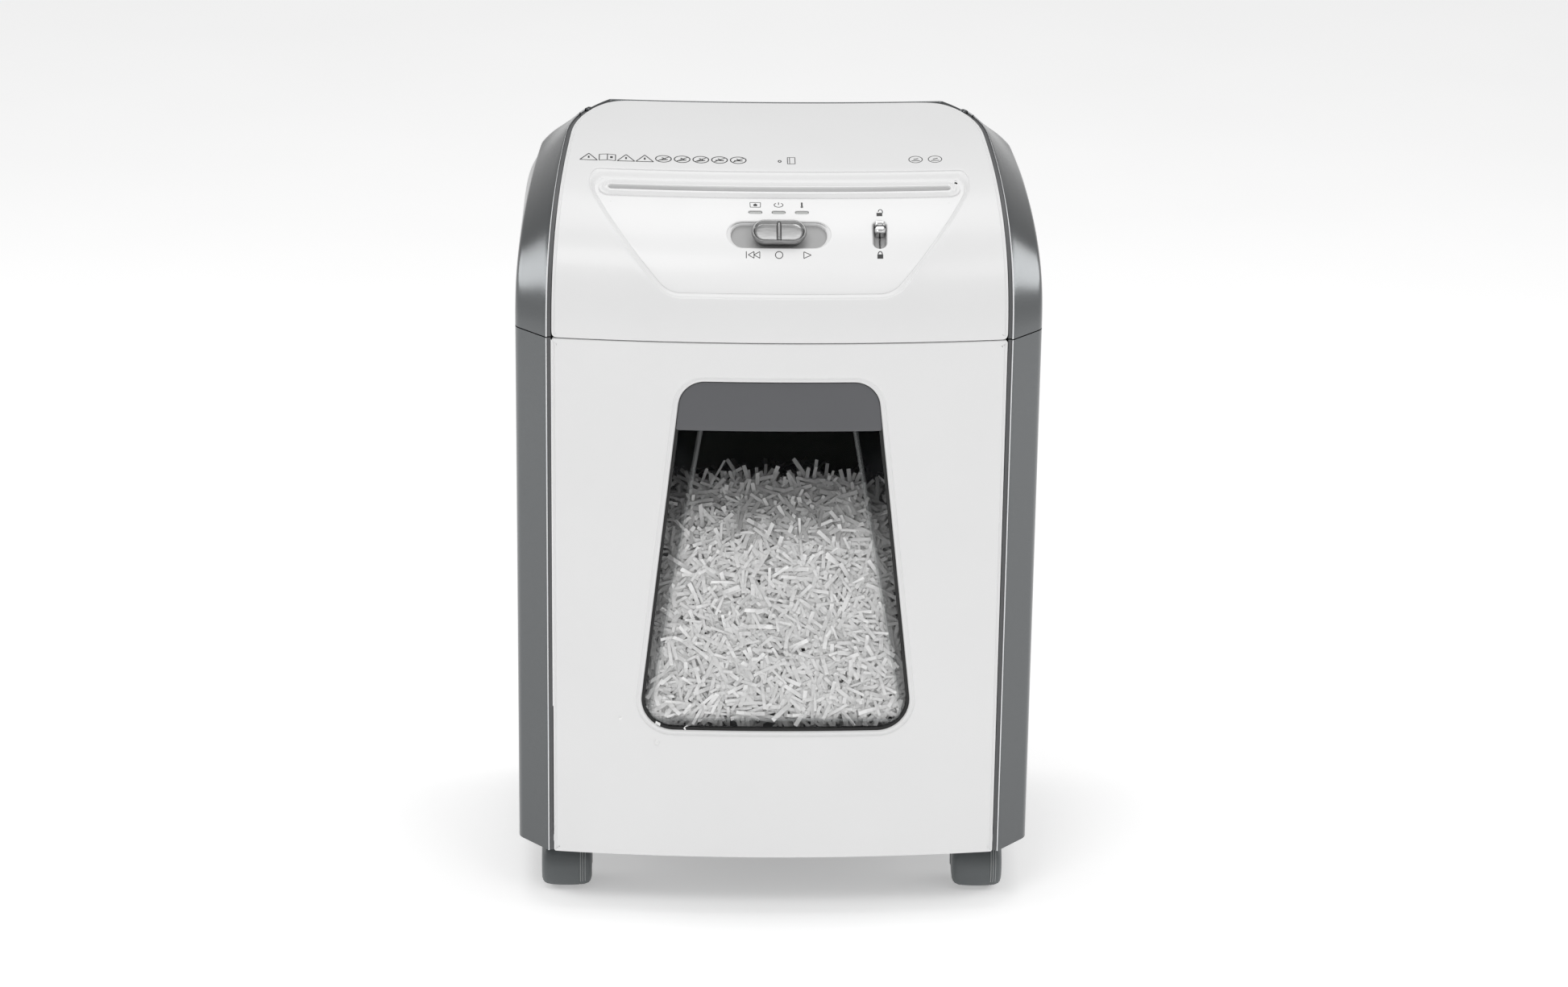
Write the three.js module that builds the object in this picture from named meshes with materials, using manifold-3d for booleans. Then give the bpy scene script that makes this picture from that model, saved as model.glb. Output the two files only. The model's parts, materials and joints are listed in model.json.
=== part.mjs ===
// Office paper shredder: a cabinet on swivel casters, a pull-out bin with a window
// and a cutting head with its motor and gear train. Millimetres, +Z up, the front
// faces -Y, and the origin is on the floor below the middle of the machine.
import * as THREE from 'three';
import { mergeVertices } from 'three/addons/utils/BufferGeometryUtils.js';
import { ConvexGeometry } from 'three/addons/geometries/ConvexGeometry.js';
import Module from 'manifold-3d';

// ---------------------------------------------------------------- driving sizes
const GAP = 0.3;                  // between pieces that touch
const OUTER_HALF = 174;           // half width over the side walls
const INNER_HALF = 149.5;         // half width of the white front
const FRONT_Y = -120.1;           // side edges of the white front
const BULGE = 10.8;               // how far the middle of the front stands forward
const BACK_Y = 127.9;             // outer face of the back
const CHAMFER_DEPTH = 25;         // front chamfer, measured along Y
const GROOVE = 3;                 // shadow groove between white front and grey sides
const CORNER = 14;                // rear corner radius
const WALL = 3;                   // moulded wall thickness
const BODY_BOTTOM = 42.8;
const SEAM = 409;                 // joint between cabinet and head
const SEAM_GAP = 1.2;

// Head profile: height above the seam as a function of depth behind the front edge.
const PROFILE_HEIGHT = 118.7;
const PROFILE_LENGTH = 88.95;
const PROFILE_POWER = 2.352;
const COVER_DEPTH = 190;          // depth of the white cover's rear edge
const REAR_SLOPE = 54;            // how steeply the head's top turns into its back
const REAR_JOINT = 128;           // half width of the head's rear cover
const REAR_GAP = 2.6;             // between the white cover and the rear cover

// Feed slot, cutters and gear train.
const FEED_Y = FRONT_Y + 51;
const SLOT_HALF = 113;
const SLOT_WIDTH = 5;
const CUTTER_Z = 448;
const SHAFT_SPACING = 34;
const DISC_RADIUS = 19.5;
const SPACER_RADIUS = 11;
const DISC_WIDTH = 6;
const DISC_PITCH = 14;
const SHAFT_RADIUS = 6;
const PLATE_X = 112;              // inner face of the cutter end plates
const PLATE_THICK = 4;
const SYNC = { teeth: 17, module: 2, x: 118.5, width: 7 };
const DRIVE = { teeth: 44, module: 1.5, x: 127.5, width: 7 };
const SMALL = { teeth: 14, module: 1.5, x: 127, width: 8 };
const LARGE = { teeth: 40, module: 1.5, x: 136.5, width: 7 };
const BACKLASH = 0.2;             // taken off each tooth flank
const PINION = { teeth: 12, module: 1.5, x: 136, width: 8 };
const REDUCTION_ANGLE = THREE.MathUtils.degToRad(15);
const MOTOR_ANGLE = THREE.MathUtils.degToRad(-10);

// Bin and window.
const DOOR_TOP = SEAM - 0.6;
const DOOR_THICK = 4;
const HANDLE_BOTTOM = 348.3;
const RIM_DEPTH = 2.5;            // the pane's rim behind the front face
const PANE_THICK = 2.5;
const TUB = { half: 146, front: -113, back: 116, bottom: 52.6, top: 372, wall: 3 };

// Controls on the panel.
const CONTROL_X = -1;
const MODE_HEIGHT = 68;
const LOCK_X = 65.2;
const LED_HEIGHT = 79.2;

// Casters.
const CASTER_X = 141.5;
const CASTER_Y = 77;
const CASTER_TRAIL = 10;
const FLANGE_RADIUS = 13;
const POCKET_DEPTH = 2;
const WHEEL_RADIUS = 17.5;

// ---------------------------------------------------------------- solid helpers
const wasm = await Module();
wasm.setup();

function toSolid(geometry) {
  const bare = geometry.clone();
  bare.deleteAttribute('normal');
  bare.deleteAttribute('uv');
  const merged = mergeVertices(bare, 1e-4);
  return new wasm.Manifold(new wasm.Mesh({
    numProp: 3,
    vertProperties: Float32Array.from(merged.attributes.position.array),
    triVerts: Uint32Array.from(merged.index.array),
  }));
}

function toGeometry(solid) {
  const mesh = solid.getMesh();
  const geometry = new THREE.BufferGeometry();
  geometry.setAttribute('position', new THREE.BufferAttribute(Float32Array.from(mesh.vertProperties), 3));
  geometry.setIndex(new THREE.BufferAttribute(Uint32Array.from(mesh.triVerts), 1));
  return geometry;
}

function subtract(base, ...cutters) {
  return toGeometry(cutters.reduce((solid, cutter) => solid.subtract(toSolid(cutter)), toSolid(base)));
}

function join(base, ...others) {
  return toGeometry(others.reduce((solid, other) => solid.add(toSolid(other)), toSolid(base)));
}

function intersect(base, other) {
  return toGeometry(toSolid(base).intersect(toSolid(other)));
}

// A box from its lowest to its highest corner.
function box(low, high) {
  const size = high.map((value, axis) => value - low[axis]);
  const geometry = new THREE.BoxGeometry(...size);
  geometry.translate(...low.map((value, axis) => value + size[axis] / 2));
  return geometry;
}

// Turns a shape extruded along Z so that it lies in the YZ plane and runs along X.
function alongX(geometry) {
  const turn = new THREE.Matrix4().makeBasis(
    new THREE.Vector3(0, 1, 0), new THREE.Vector3(0, 0, 1), new THREE.Vector3(1, 0, 0));
  geometry.applyMatrix4(turn);
  return geometry;
}

// Extrudes a shape drawn in XZ along Y, from yFrom to yTo.
function prismY(shape, yFrom, yTo, segments = 4) {
  const geometry = new THREE.ExtrudeGeometry(shape, {
    depth: yTo - yFrom, bevelEnabled: false, curveSegments: segments });
  geometry.rotateX(Math.PI / 2);
  geometry.translate(0, yTo, 0);
  return geometry;
}

// A turned piece: profile points are [radius, distance along the axis], axis along X.
function turnedX(profile, segments) {
  const points = profile.map(([radius, along]) => new THREE.Vector2(radius, along));
  const geometry = new THREE.LatheGeometry(points, segments);
  geometry.rotateZ(-Math.PI / 2);
  return geometry;
}

function turnedZ(profile, segments) {
  const points = profile.map(([radius, along]) => new THREE.Vector2(radius, along));
  const geometry = new THREE.LatheGeometry(points, segments);
  geometry.rotateX(Math.PI / 2);
  return geometry;
}

// A wall of even thickness behind a surface given as point(u, v). The lists hold the
// u and v values of its grid; the outward side is on the left of u crossed with v.
function shell(point, us, vs, thickness, side = 1) {
  const step = 1e-3;
  const columns = us.length - 1;
  const rows = vs.length - 1;
  const geometry = new THREE.BoxGeometry(columns, rows, 1, columns, rows, 1);
  const position = geometry.attributes.position;
  const last = us[columns];
  for (let i = 0; i < position.count; i += 1) {
    const u = us[Math.round(position.getX(i) + columns / 2)];
    const v = vs[Math.round(position.getY(i) + rows / 2)];
    const outer = point(u, v);
    const du = point(Math.min(u + step, last), v).sub(point(Math.max(u - step, us[0]), v));
    const dv = point(u, Math.min(v + step, vs[rows])).sub(point(u, Math.max(v - step, vs[0])));
    const normal = du.cross(dv).normalize().multiplyScalar(side);
    if (position.getZ(i) * side < 0) {
      outer.addScaledVector(normal, -thickness);
    }
    position.setXYZ(i, outer.x, outer.y, outer.z);
  }
  return geometry;
}

function spread(from, to, count) {
  return Array.from({ length: count + 1 }, (_, i) => from + (to - from) * i / count);
}

// ---------------------------------------------------------------- outer surfaces
const bulge = (x) => BULGE * (1 - (x / INNER_HALF) ** 2);
const frontY = (x) => FRONT_Y - bulge(x);
const profileDepth = (height) => (
  -PROFILE_LENGTH * Math.log(1 - (height / PROFILE_HEIGHT) ** PROFILE_POWER));
const profileHeight = (depth) => (
  PROFILE_HEIGHT * (1 - Math.exp(-depth / PROFILE_LENGTH)) ** (1 / PROFILE_POWER));
const ramp = (value, from, to) => THREE.MathUtils.clamp((value - from) / (to - from), 0, 1);

// Half width of the white cover at a given depth; its upper corners are rounded.
const coverHalf = (depth) => 149.5 - 0.083 * depth - 21 * ramp(depth, 125, 190) ** 2.2;
const COVER_TOP = profileHeight(COVER_DEPTH);

// Point on the white head surface from x and height above the seam.
function headPoint(x, height) {
  return new THREE.Vector3(x, FRONT_Y + profileDepth(height) - bulge(x), SEAM + height);
}

// Frame of the head surface at a point: local X to the right, local Y up the slope and
// local Z out of the surface.
function headFrame(x, height) {
  const below = headPoint(x, height - 0.5);
  const above = headPoint(x, height + 0.5);
  const up = above.clone().sub(below).normalize();
  const right = new THREE.Vector3(1, 0, 0);
  const out = right.clone().cross(up).normalize();
  const frame = new THREE.Matrix4().makeBasis(right, up, out);
  frame.setPosition(headPoint(x, height));
  return frame;
}

// The grey chamfer is a strip of even width: across runs 0..1 from the groove beside the
// cover to the strip's outer edge, which lies CHAMFER_DEPTH below the cover's surface.
function stripPoint(depth, across) {
  const rise = PROFILE_HEIGHT / (PROFILE_POWER * PROFILE_LENGTH) * Math.exp(-depth / PROFILE_LENGTH)
    * (1 - Math.exp(-depth / PROFILE_LENGTH)) ** (1 / PROFILE_POWER - 1);
  const length = Math.hypot(rise, 1);
  const inner = coverHalf(depth) + GROOVE;
  const outer = OUTER_HALF - 0.083 * depth;
  return [
    inner + (outer - inner) * across,
    FRONT_Y + depth + CHAMFER_DEPTH * across * rise / length + (1 - across),
    profileHeight(depth) - CHAMFER_DEPTH * across / length,
  ];
}

// How far back the strip reaches, where the head turns over to its rear.
const stripEnd = (across) => (
  157.5 + 27 * Math.min(across, 0.5) + 3 * ramp(across, 0.5, 0.75) - 9 * ramp(across, 0.7, 1) ** 3);

// Point across the strip in the level cut at a height: share 0 is the groove, 1 the far end.
function stripCut(height, share) {
  const start = profileDepth(height);
  const across = (depth) => ramp((profileHeight(depth) - height) / (profileHeight(depth) - stripPoint(depth, 1)[2]), 0, 1);
  let near = start;
  let far = COVER_DEPTH;
  for (let round = 0; round < 40; round += 1) {
    const middle = (near + far) / 2;
    if (across(middle) >= 1 || middle > stripEnd(across(middle))) {
      far = middle;
    } else {
      near = middle;
    }
  }
  const depth = start + (near - start) * share ** 2;
  return stripPoint(depth, across(depth));
}

// Rear outline of the level cut at a height, from the strip's far end to the middle of the
// back: square at the seam, rounder and further forward towards the top.
function rearOutline(height) {
  const [sideX, sideY] = stripCut(height, 1);
  const fall = Math.max(COVER_TOP - height, 0);
  const drop = Math.min((Math.sqrt(REAR_SLOPE ** 2 + 41.6 * fall) - REAR_SLOPE) / 20.8, 1);
  const square = (1 - ramp(height, 5, 88)) ** 1.6;
  const curl = ramp(height, 48, COVER_TOP);
  return {
    sideX,
    curl,
    sideY: sideY + curl * sideBulge(sideX),
    middleY: BACK_Y - (BACK_Y - FRONT_Y - COVER_DEPTH - 1.5) * (1 - drop) ** 2,
    acrossPower: 6.6 + 27.4 * square,
    depthPower: 1.5 + 32.5 * square,
  };
}

const sideBulge = (x) => bulge(Math.min(Math.abs(x), INNER_HALF));

// Back of the head at a distance from the middle plane and a height above the seam.
function rearY(x, height) {
  const cut = rearOutline(height);
  const share = (1 - Math.min(Math.abs(x) / cut.sideX, 1) ** cut.acrossPower) ** (1 / cut.depthPower);
  return cut.sideY + (cut.middleY - cut.sideY) * share - cut.curl * sideBulge(x);
}

// The same outline by angle: 0 at the strip's far end, a right angle at the middle.
function rearTurn(height, angle) {
  const cut = rearOutline(height);
  const x = cut.sideX * Math.cos(angle) ** (2 / cut.acrossPower);
  const share = Math.sin(angle) ** (2 / cut.depthPower);
  return [x, cut.sideY + (cut.middleY - cut.sideY) * share - cut.curl * sideBulge(x)];
}

// Angle at which that outline reaches the joint between side shell and rear cover.
function jointAngle(height) {
  const cut = rearOutline(height);
  return Math.acos((REAR_JOINT / cut.sideX) ** (cut.acrossPower / 2));
}

// ---------------------------------------------------------------- window outline
// Outline of the window opening, drawn in XZ, moved inwards by inset.
function windowShape(inset) {
  const bottom = 131.9 + inset;
  const top = 385.6 - inset;
  const low = 66 - inset;
  const wide = 93.8 - inset;
  const narrow = 70.5 - inset;
  const high = 48 - inset;
  const shape = new THREE.Shape();
  shape.moveTo(-low, bottom);
  shape.lineTo(low, bottom);
  shape.quadraticCurveTo(wide + 2.5, bottom, wide, 165);
  shape.lineTo(narrow, 352);
  shape.quadraticCurveTo(narrow - 2, top, high, top);
  shape.lineTo(-high, top);
  shape.quadraticCurveTo(-narrow + 2, top, -narrow, 352);
  shape.lineTo(-wide, 165);
  shape.quadraticCurveTo(-wide - 2.5, bottom, -low, bottom);
  return shape;
}

// A curved plate parallel to the white front: nearest and furthest distance behind it.
function frontPlate(half, near, far, zLow, zHigh) {
  const xs = spread(-half, half, 20);
  const shape = new THREE.Shape([
    ...xs.map((x) => new THREE.Vector2(x, frontY(x) + near)),
    ...xs.slice().reverse().map((x) => new THREE.Vector2(x, frontY(x) + far)),
  ]);
  const geometry = new THREE.ExtrudeGeometry(shape, { depth: zHigh - zLow, bevelEnabled: false });
  geometry.translate(0, 0, zLow);
  return geometry;
}

// ---------------------------------------------------------------- materials
const plastic = (color, roughness = 0.35) => ({ color, roughness, metalness: 0 });
const metal = (color, roughness = 0.4) => ({ color, roughness, metalness: 0.9 });
const WHITE = plastic(0xe4e4e4, 0.3);
const SILVER = { color: 0x76787b, roughness: 0.38, metalness: 0.5 };
const CHARCOAL = plastic(0x3b3e40, 0.5);
const HANDLE_GREY = plastic(0x66686b, 0.45);
const STEEL = metal(0x9a9c9f, 0.4);
const PANEL_WHITE = plastic(0xf0f0f0, 0.3);

const group = new THREE.Group();

function add(name, geometry, look, parent = group) {
  const mesh = new THREE.Mesh(geometry, new THREE.MeshStandardMaterial(look));
  mesh.name = name;
  parent.add(mesh);
  return mesh;
}

// ---------------------------------------------------------------- cabinet
function cabinetSide(sign) {
  const turn = OUTER_HALF - CORNER;
  const xs = [
    [INNER_HALF + GROOVE, FRONT_Y + 1],
    [OUTER_HALF, FRONT_Y + CHAMFER_DEPTH],
    [OUTER_HALF, BACK_Y - CORNER],
    [OUTER_HALF - 0.29 * CORNER, BACK_Y - 0.29 * CORNER],
    [turn, BACK_Y],
    [turn - 3, BACK_Y],
  ];
  const inner = [
    [xs[4][0] - 3, BACK_Y - WALL],
    [xs[4][0], BACK_Y - WALL],
    [OUTER_HALF - WALL, BACK_Y - CORNER],
    [OUTER_HALF - WALL, FRONT_Y + CHAMFER_DEPTH + 1.5],
    [INNER_HALF + GROOVE + 0.9, FRONT_Y + 5],
    [INNER_HALF + GROOVE + 0.9, FRONT_Y + 12],
    [INNER_HALF + GROOVE - 1.6, FRONT_Y + 12],
  ];
  const outline = [...xs, ...inner].map(([x, y]) => new THREE.Vector2(sign * x, y));
  const geometry = new THREE.ExtrudeGeometry(new THREE.Shape(outline), {
    depth: SEAM - GAP - BODY_BOTTOM, bevelEnabled: false });
  geometry.translate(0, 0, BODY_BOTTOM);
  return geometry;
}

function cabinetBack() {
  const half = OUTER_HALF - CORNER - 3 - GAP;
  return box([-half, BACK_Y - WALL, BODY_BOTTOM], [half, BACK_Y, SEAM - GAP]);
}

// Level plate that fits between the cabinet walls, with a narrower nose at the front.
function levelPlate(noseHalf, noseY, low, high) {
  const side = OUTER_HALF - WALL - 1;
  const back = BACK_Y - WALL - GAP;
  const rear = OUTER_HALF - CORNER - 4;
  const half = [[noseHalf, noseY], [noseHalf, FRONT_Y + 32], [side, FRONT_Y + 32], [side, back - CORNER], [rear, back]];
  const mirrored = half.slice().reverse().map(([x, y]) => [-x, y]);
  const outline = [...half, ...mirrored].map(([x, y]) => new THREE.Vector2(x, y));
  const geometry = new THREE.ExtrudeGeometry(new THREE.Shape(outline), {
    depth: high - low, bevelEnabled: false });
  geometry.translate(0, 0, low);
  return geometry;
}

// Deck between cabinet and head, open below the cutters where the shreds fall.
const DECK_TOP = SEAM - 5;

function cabinetDeck() {
  const plate = levelPlate(146, FRONT_Y + 8, DECK_TOP - 6, DECK_TOP);
  const chute = box(
    [-SLOT_HALF, FEED_Y - 37, DECK_TOP - 7], [SLOT_HALF, FEED_Y + 37, DECK_TOP + 1]);
  return subtract(plate, chute);
}

add('cabinet_left_side', cabinetSide(-1), SILVER);
add('cabinet_right_side', cabinetSide(1), SILVER);
add('cabinet_back', cabinetBack(), SILVER);
const pockets = [-1, 1].flatMap((sideX) => [-1, 1].map((sideY) => (
  turnedZ([[0, -1], [FLANGE_RADIUS + 1, -1], [FLANGE_RADIUS + 1, POCKET_DEPTH], [0, POCKET_DEPTH]], 12)
    .translate(sideX * CASTER_X, sideY * CASTER_Y - CASTER_TRAIL, BODY_BOTTOM))));
add('cabinet_base', subtract(levelPlate(147, FRONT_Y + 13, BODY_BOTTOM, BODY_BOTTOM + 6), ...pockets), CHARCOAL);
add('cabinet_deck', cabinetDeck(), CHARCOAL);
for (const [name, sign] of [['bin_rail_left', -1], ['bin_rail_right', 1]]) {
  const rail = box([-4, FRONT_Y + 16, 0], [4, TUB.back, TUB.bottom - BODY_BOTTOM - 6 - 2 * GAP]);
  add(name, rail, STEEL).position.set(sign * 120, 0, BODY_BOTTOM + 6 + GAP);
}

// ---------------------------------------------------------------- head shells
const HEIGHTS = [SEAM_GAP, 20, 38, 52, 62, 70, 77, 83, 89, 95, 101, 106, 109.2, COVER_TOP - 0.6];

// Outline of the control panel, drawn in XZ with heights above the seam.
function panelShape(inset) {
  const shape = new THREE.Shape();
  const bottom = SEAM + 30 + inset;
  const top = SEAM + 94.8 - inset;
  shape.moveTo(-66 + inset, bottom);
  shape.lineTo(66 - inset, bottom);
  shape.quadraticCurveTo(77 - inset, bottom, 84 - inset, bottom + 9.5);
  shape.lineTo(121 - inset, top - 12);
  shape.quadraticCurveTo(131 - inset, top, 116 - inset, top);
  shape.lineTo(-116 + inset, top);
  shape.quadraticCurveTo(-131 + inset, top, -121 + inset, top - 12);
  shape.lineTo(-84 + inset, bottom + 9.5);
  shape.quadraticCurveTo(-77 + inset, bottom, -66 + inset, bottom);
  return shape;
}

// White head surface as a wall, from one depth behind it to another.
function headSheet(near, thickness, depths, columns, rows) {
  const point = (u, v) => {
    const depth = depths[0] + (depths[1] - depths[0]) * v ** 2;
    const x = u * coverHalf(depth);
    const slope = headFrame(0, Math.max(profileHeight(depth), 1)).elements;
    const out = new THREE.Vector3(slope[8], slope[9], slope[10]);
    const place = new THREE.Vector3(x, FRONT_Y + depth - bulge(x), SEAM + profileHeight(depth));
    return place.addScaledVector(out, -near);
  };
  return shell(point, spread(-1, 1, columns), spread(0.001, 1, rows), thickness);
}

const SEAM_DEPTH = profileDepth(SEAM_GAP);
const panelTool = prismY(panelShape(0), FRONT_Y - 20, FRONT_Y + 95);
add('head_cover', subtract(headSheet(0, WALL, [SEAM_DEPTH, COVER_DEPTH], 12, 11), panelTool), WHITE);

function headSideShell(sign) {
  const point = (u, v) => {
    const [x, y] = u <= 3 ? stripCut(v, u / 3) : rearTurn(v, jointAngle(v) * (u - 3) / 5);
    return new THREE.Vector3(sign * x, y, SEAM + v);
  };
  return shell(point, [0, 1, 2, 3, 3.3, 4.4, 5.6, 6.8, 8], HEIGHTS.slice(0, -1), WALL, sign);
}

add('head_left_shell', headSideShell(-1), SILVER);
add('head_right_shell', headSideShell(1), SILVER);

// Upper edge of the rear cover: it follows the white cover's rear edge and round corners.
function rearEdge(x) {
  let near = 100;
  let far = COVER_DEPTH;
  for (let round = 0; round < 30; round += 1) {
    const middle = (near + far) / 2;
    if (coverHalf(middle) > Math.abs(x) - REAR_GAP) {
      near = middle;
    } else {
      far = middle;
    }
  }
  return { y: FRONT_Y + near + REAR_GAP + 0.6 - bulge(x), height: profileHeight(near) + 0.3 };
}

// Rear cover: from behind the white cover's rear edge over the back and down to the seam.
function headRearCover() {
  const point = (u, v) => {
    const x = u * (REAR_JOINT - 4 * GAP);
    const edge = rearEdge(x);
    const height = edge.height + (SEAM_GAP - edge.height) * v;
    const turn = ramp(height, 104, edge.height);
    const y = rearY(x, Math.min(height, 104));
    return new THREE.Vector3(x, y + (edge.y - y) * turn ** 1.2, SEAM + height);
  };
  const half = [0.22, 0.55, 0.8, 0.87, 0.91, 0.955, 1];
  const columns = [...half.slice().reverse().map((u) => -u), 0, ...half];
  return shell(point, columns, [0, 0.03, 0.08, 0.15, 0.24, 0.36, 0.52, 0.75, 1], 2.4);
}

const vents = [];
for (const side of [-1, 1]) {
  for (let row = 0; row < 6; row += 1) {
    const z = SEAM + 24 + row * 8;
    vents.push(box([side * 75 - 38, BACK_Y - 12, z], [side * 75 + 38, BACK_Y + 2, z + 3]));
  }
}

// Cable gland: a stepped bush through the rear cover.
const GLAND_X = -108;
const GLAND_Z = SEAM + 13;
const glandProfile = [[0, -9], [5.5, -9], [5.5, -3.4], [7, -3.4], [7, 3], [3.5, 3], [3.5, 0], [0, 0]];
const gland = turnedZ(glandProfile, 12).rotateX(-Math.PI / 2);
const glandHole = new THREE.CylinderGeometry(7.4, 7.4, 20, 12).translate(GLAND_X, BACK_Y, GLAND_Z);
add('cord_gland', gland, CHARCOAL).position.set(GLAND_X, BACK_Y, GLAND_Z);
add('head_rear_cover', subtract(headRearCover(), glandHole, ...vents), SILVER);

// ---------------------------------------------------------------- control panel
// A prism standing on the head surface: shape in the surface's own frame, lowest to
// highest distance from the surface.
function onHead(shape, x, height, low, high, segments = 4) {
  const geometry = new THREE.ExtrudeGeometry(shape, {
    depth: high - low, bevelEnabled: false, curveSegments: segments });
  geometry.translate(0, 0, low);
  geometry.applyMatrix4(headFrame(x, height));
  return geometry;
}

function capsule(halfLength, halfWidth) {
  const straight = halfLength - halfWidth;
  const shape = new THREE.Shape();
  shape.moveTo(-straight, -halfWidth);
  shape.lineTo(straight, -halfWidth);
  shape.absarc(straight, 0, halfWidth, -Math.PI / 2, Math.PI / 2, false);
  shape.lineTo(-straight, halfWidth);
  shape.absarc(-straight, 0, halfWidth, Math.PI / 2, Math.PI * 1.5, false);
  return shape;
}

const rounded = (halfX, halfY, radius) => {
  const shape = new THREE.Shape();
  shape.moveTo(-halfX + radius, -halfY);
  shape.lineTo(halfX - radius, -halfY);
  shape.absarc(halfX - radius, -halfY + radius, radius, -Math.PI / 2, 0, false);
  shape.absarc(halfX - radius, halfY - radius, radius, 0, Math.PI / 2, false);
  shape.absarc(-halfX + radius, halfY - radius, radius, Math.PI / 2, Math.PI, false);
  shape.absarc(-halfX + radius, -halfY + radius, radius, Math.PI, Math.PI * 1.5, false);
  return shape;
};

const SWITCH_HALF = [34, 10.7];
const LOCK_HALF = [4.6, 11];
const PANEL_RECESS = 1.2;
const PANEL_THICK = 2.3;
const SLOT_HEIGHT = profileHeight(FEED_Y - FRONT_Y + BULGE);
const LED_PLACES = [['led_bin', -15.3], ['led_power', 0], ['led_alert', 15.3]];

const switchCut = onHead(capsule(...SWITCH_HALF), CONTROL_X, MODE_HEIGHT, -12, 8, 4);
const lockCut = onHead(rounded(...LOCK_HALF, 4), LOCK_X, MODE_HEIGHT, -12, 8, 3);
const slotCut = box([-SLOT_HALF - 1, FEED_Y - 5, SEAM + 70], [SLOT_HALF + 1, FEED_Y + 5, SEAM + 110]);
const ledCuts = LED_PLACES.map(([, x]) => (
  onHead(capsule(4.8, 1.5), CONTROL_X + x, LED_HEIGHT, -6, 4, 2)));

const panelDepths = [profileDepth(24), profileDepth(98)];
const panelBlank = intersect(
  headSheet(PANEL_RECESS, PANEL_THICK, panelDepths, 8, 6),
  prismY(panelShape(GAP), FRONT_Y - 20, FRONT_Y + 95));
add('control_panel', subtract(panelBlank, switchCut, lockCut, slotCut, ...ledCuts), PANEL_WHITE);

for (const [name, x] of LED_PLACES) {
  add(name, onHead(capsule(4.4, 1.1), CONTROL_X + x, LED_HEIGHT, -3.6, -0.9, 2), plastic(0xc9cfc9, 0.2));
}

// Wells behind the panel that guide the two sliding knobs.
function well(shape, hollow, x, low) {
  return subtract(onHead(shape, x, MODE_HEIGHT, low, -5.4, 4), onHead(hollow, x, MODE_HEIGHT, low + 2, 0, 4));
}

add('switch_well', well(capsule(36, 12.7), capsule(34, 10.7), CONTROL_X, -11), plastic(0x9b9b9b, 0.5));
add('lock_well', well(rounded(6.6, 13, 5), rounded(4.6, 11, 4), LOCK_X, -11), plastic(0x9b9b9b, 0.5));

// Bezel round the feed slot: a tilted ring with a straight slot through it.
function feedBezel() {
  const ring = onHead(capsule(120, 7.2), 0, SLOT_HEIGHT, -3.4, 1.3);
  const seat = box([-SLOT_HALF - 1 + GAP, FEED_Y - 5 + GAP, 0], [SLOT_HALF + 1 - GAP, FEED_Y + 5 - GAP, 900]);
  const slot = box([-SLOT_HALF, FEED_Y - SLOT_WIDTH / 2, 0], [SLOT_HALF, FEED_Y + SLOT_WIDTH / 2, 900]);
  const flange = onHead(capsule(120, 7.2), 0, SLOT_HEIGHT, -PANEL_RECESS + GAP, 1.3);
  return subtract(join(intersect(ring, seat), flange), slot);
}

add('feed_bezel', feedBezel(), PANEL_WHITE);

for (const [name, side] of [['throat_front', -1], ['throat_rear', 1]]) {
  const near = side * (SLOT_WIDTH / 2);
  const far = side * (SLOT_WIDTH / 2 + 2);
  const low = [-PLATE_X + GAP, FEED_Y + Math.min(near, far), CUTTER_Z + 22];
  const high = [PLATE_X - GAP, FEED_Y + Math.max(near, far), SEAM + 80];
  add(name, box(low, high), plastic(0xb8b8b8, 0.5));
}

// ---------------------------------------------------------------- sliding knobs
// Mode knob: a capsule on a flared foot, dished on top with an upright ridge.
function modeKnob() {
  const foot = onHead(capsule(20, 10), CONTROL_X, MODE_HEIGHT, -8.6, -6);
  const head = onHead(capsule(18, 8.8), CONTROL_X, MODE_HEIGHT, -6.1, 2.4);
  const dish = onHead(capsule(16.2, 7), CONTROL_X, MODE_HEIGHT, 0.8, 3);
  const ridge = onHead(rounded(1.6, 7.6, 0.8), CONTROL_X, MODE_HEIGHT, 0, 2.2, 2);
  return join(subtract(join(foot, head), dish), ridge);
}

function lockKnob() {
  const lift = new THREE.Matrix4().makeTranslation(0, 4.4, 0);
  const body = new THREE.ExtrudeGeometry(rounded(4, 4.8, 2), {
    depth: 9, bevelEnabled: false, curveSegments: 3 });
  body.translate(0, 0, -8.6);
  const notch = box([-5, -0.7, -0.6], [5, 0.7, 1]);
  const knob = subtract(body, notch);
  knob.applyMatrix4(lift);
  knob.applyMatrix4(headFrame(LOCK_X, MODE_HEIGHT));
  return knob;
}

add('mode_knob', modeKnob(), metal(0xa8a8a8, 0.35));
add('lock_knob', lockKnob(), metal(0xb4b4b4, 0.2));

// ---------------------------------------------------------------- cutter block
const FRONT_SHAFT = [FEED_Y - SHAFT_SPACING / 2, CUTTER_Z];
const REAR_SHAFT = [FEED_Y + SHAFT_SPACING / 2, CUTTER_Z];
const pitchRadius = (gear) => gear.teeth * gear.module / 2;
const step = (from, angle, length) => [
  from[0] + Math.cos(angle) * length, from[1] + Math.sin(angle) * length];
const REDUCTION = step(REAR_SHAFT, REDUCTION_ANGLE, pitchRadius(DRIVE) + pitchRadius(SMALL));
const MOTOR = step(REDUCTION, MOTOR_ANGLE, pitchRadius(LARGE) + pitchRadius(PINION));

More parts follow.
